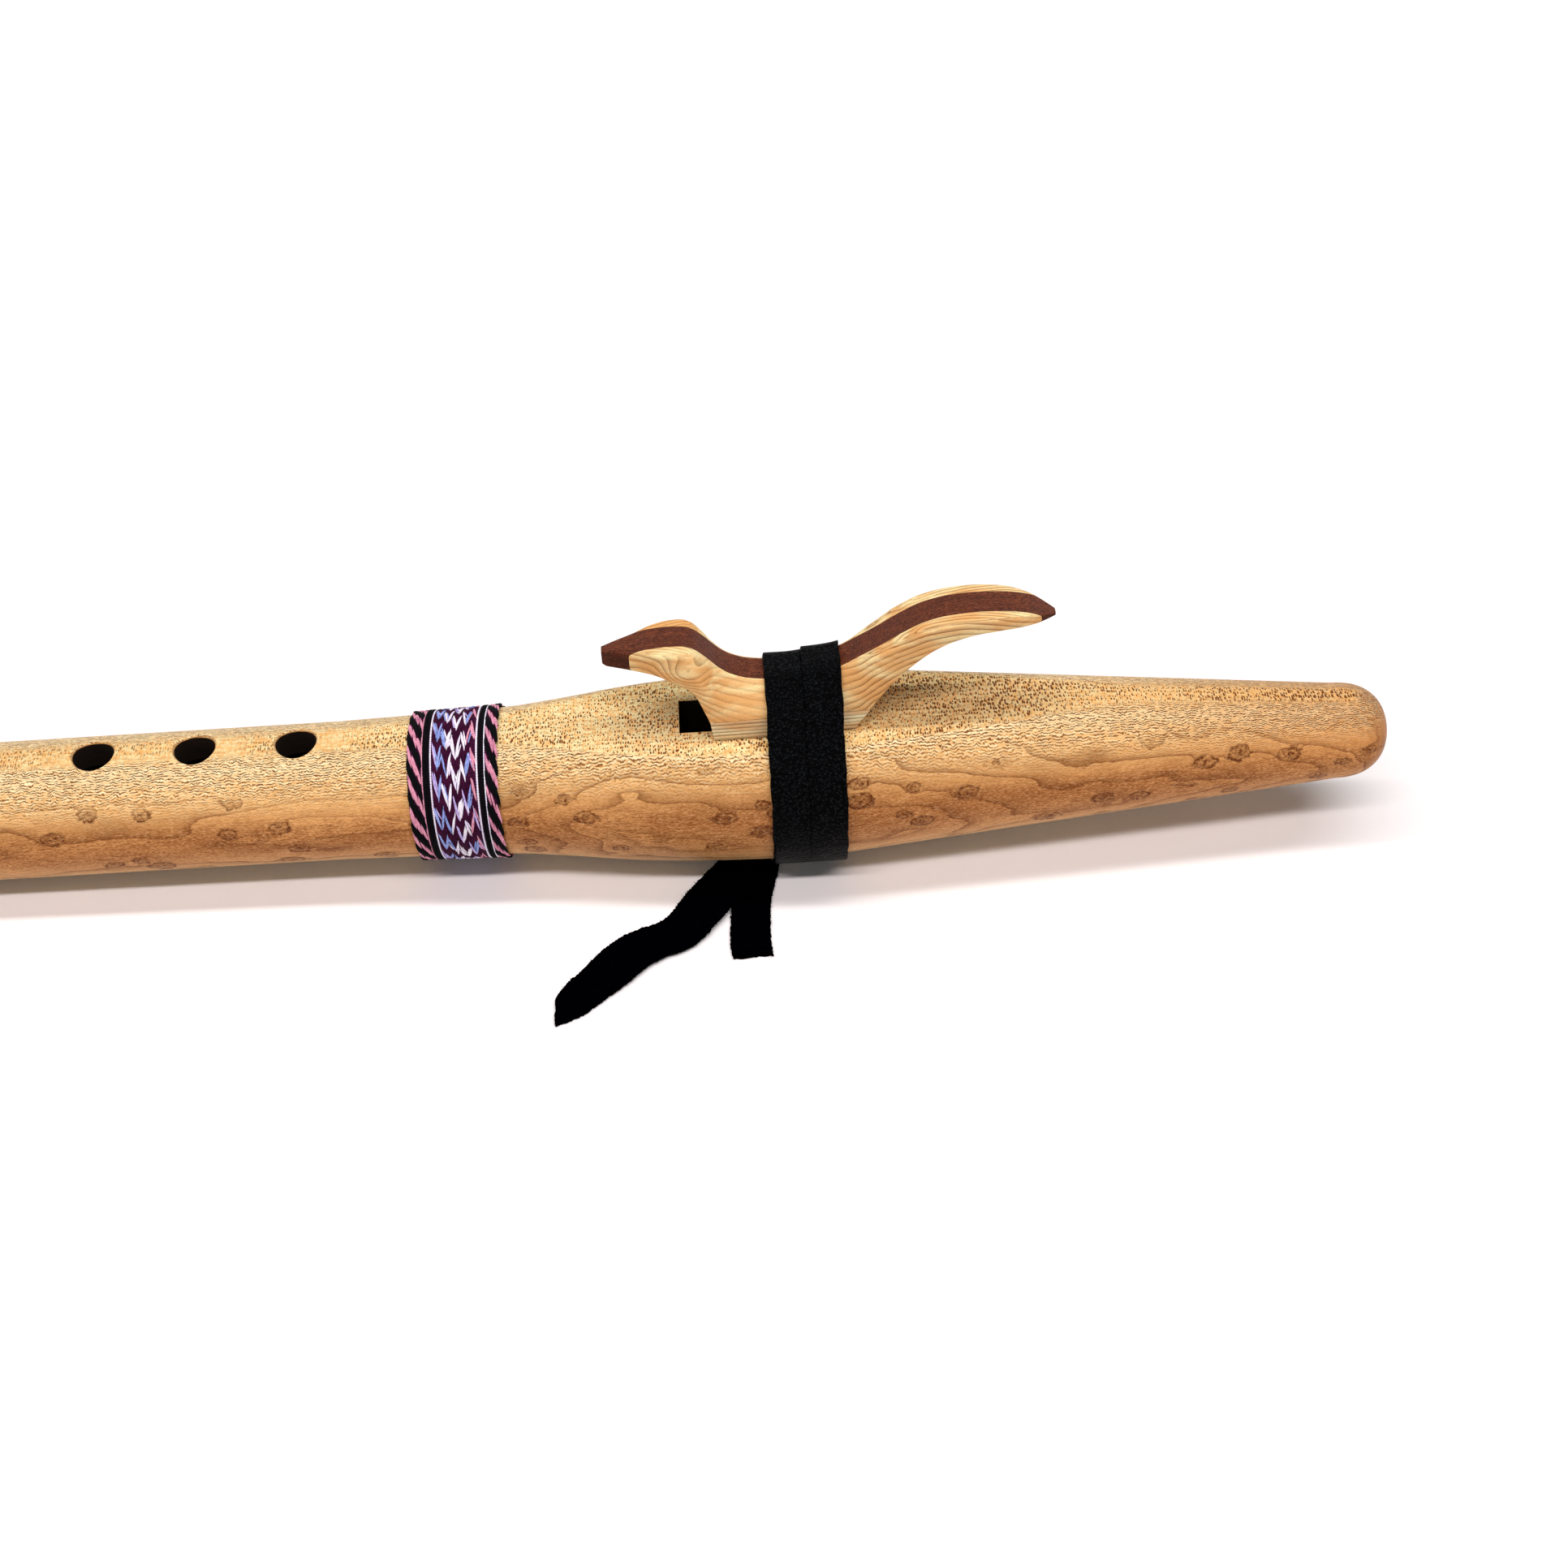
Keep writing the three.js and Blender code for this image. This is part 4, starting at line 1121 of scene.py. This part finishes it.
def make_knot():
    """The lace's two ends tied in one overhand knot, in the wedge between the tube and the table."""
    turn = round_angles(220)
    east = np.sin(turn) + 1.75 * np.sin(2 * turn)
    north = np.cos(turn) - 1.75 * np.cos(2 * turn)
    path = np.stack([east, north, -np.sin(3 * turn)], 1)
    path = path / np.abs(path).max(0) * (4.1, 3.6, 1.25) + (-11.3, -15.6, 2.7)
    ahead = unit(np.roll(path, -1, 0) - np.roll(path, 1, 0))
    side = unit(np.cross(ahead, (0, 0, 1)))
    up = np.cross(side, ahead)
    around = round_angles(14)
    wide, high = 2.0 * squared(np.cos(around)), 1.15 * squared(np.sin(around))
    points = path[:, None] + side[:, None] * wide[:, None] + up[:, None] * high[:, None]
    points[:, :, 2] = np.maximum(points[:, :, 2], 0.05)
    shape = points.reshape(-1, 3), ring_faces(len(turn), len(around), closed=True)
    hand_in(solid("knot", shape, suede, 60, WORLD), "block", "black_leather", "lace_knot")


# Studio
WHITE = (1.0, 1.0, 1.0)
FLOOR = 4000.0


def seen(t):
    """1 for camera, mirror and glass rays."""
    path = t.node("LightPath", {}).outputs
    share = t.math("MAXIMUM", path["Is Camera Ray"], path["Is Glossy Ray"])
    return t.math("MAXIMUM", share, path["Is Transmission Ray"])


def make_world():
    """A dim white surrounding that looks fully white itself."""
    scene.world = bpy.data.worlds.new("studio")
    t = Tree(scene.world)
    dim = t.tree.nodes["Background"]
    t.set(dim.inputs["Color"], WHITE)
    t.set(dim.inputs["Strength"], 0.12)
    shown = t.value("Background", {"Color": WHITE, "Strength": 1.0})
    mixed = t.value("MixShader", {0: seen(t), 1: dim.outputs[0], 2: shown})
    t.set(t.tree.nodes["World Output"].inputs["Surface"], mixed)


def softbox(name, place, size, power, colour):
    """A long lamp that faces the flute."""
    data = bpy.data.lights.new(name, "AREA")
    data.shape = "RECTANGLE"
    data.size, data.size_y = size
    data.energy = power
    data.color = colour
    lamp = bpy.data.objects.new(name, data)
    scene.collection.objects.link(lamp)
    lamp.location = place
    lamp.rotation_euler = (-Vector(place)).to_track_quat("-Z", "Y").to_euler()


def make_floor():
    """White paper with a painted glow, for the camera and in reflections, that grows the farther it lies
    from the flute.
    """
    t = new_tree("white_paper")
    paper = t.finish((0.92, 0.91, 0.91), 0.9, 0.05)
    away = t.value("VectorMath", {0: t.value("TexCoord", {}, "Object")}, "Value", operation="LENGTH")
    extra = seen(t) * t.step(away, 0.2, 1.1, 0.03, 1.0)
    glow = t.value("Emission", {"Color": WHITE, "Strength": extra})
    both = t.value("AddShader", {0: t.tree.nodes["Principled BSDF"].outputs[0], 1: glow})
    t.set(t.tree.nodes["Material Output"].inputs["Surface"], both)
    corners = [(-FLOOR, -FLOOR, 0), (FLOOR, -FLOOR, 0), (FLOOR, FLOOR, 0), (-FLOOR, FLOOR, 0)]
    mesh_object("floor", corners, [(0, 1, 2, 3)], paper, WORLD)


make_camera()
make_body()
make_block()
make_lace()
make_band()
make_tail("lace_tail_long", LONG_TAIL, LONG_LIFT, (0.3, 0.9), 11)
make_tail("lace_tail_short", SHORT_TAIL, SHORT_LIFT, (0.15, 0.1), 23)
make_knot()
make_world()
softbox("softbox_over", (0.0, 0.1, 2.0), (3.0, 0.2), 28.6, WHITE)
softbox("softbox_front", (0.0, -0.87, 1.86), (2.4, 0.14), 30.0, (1.0, 0.91, 0.91))
make_floor()
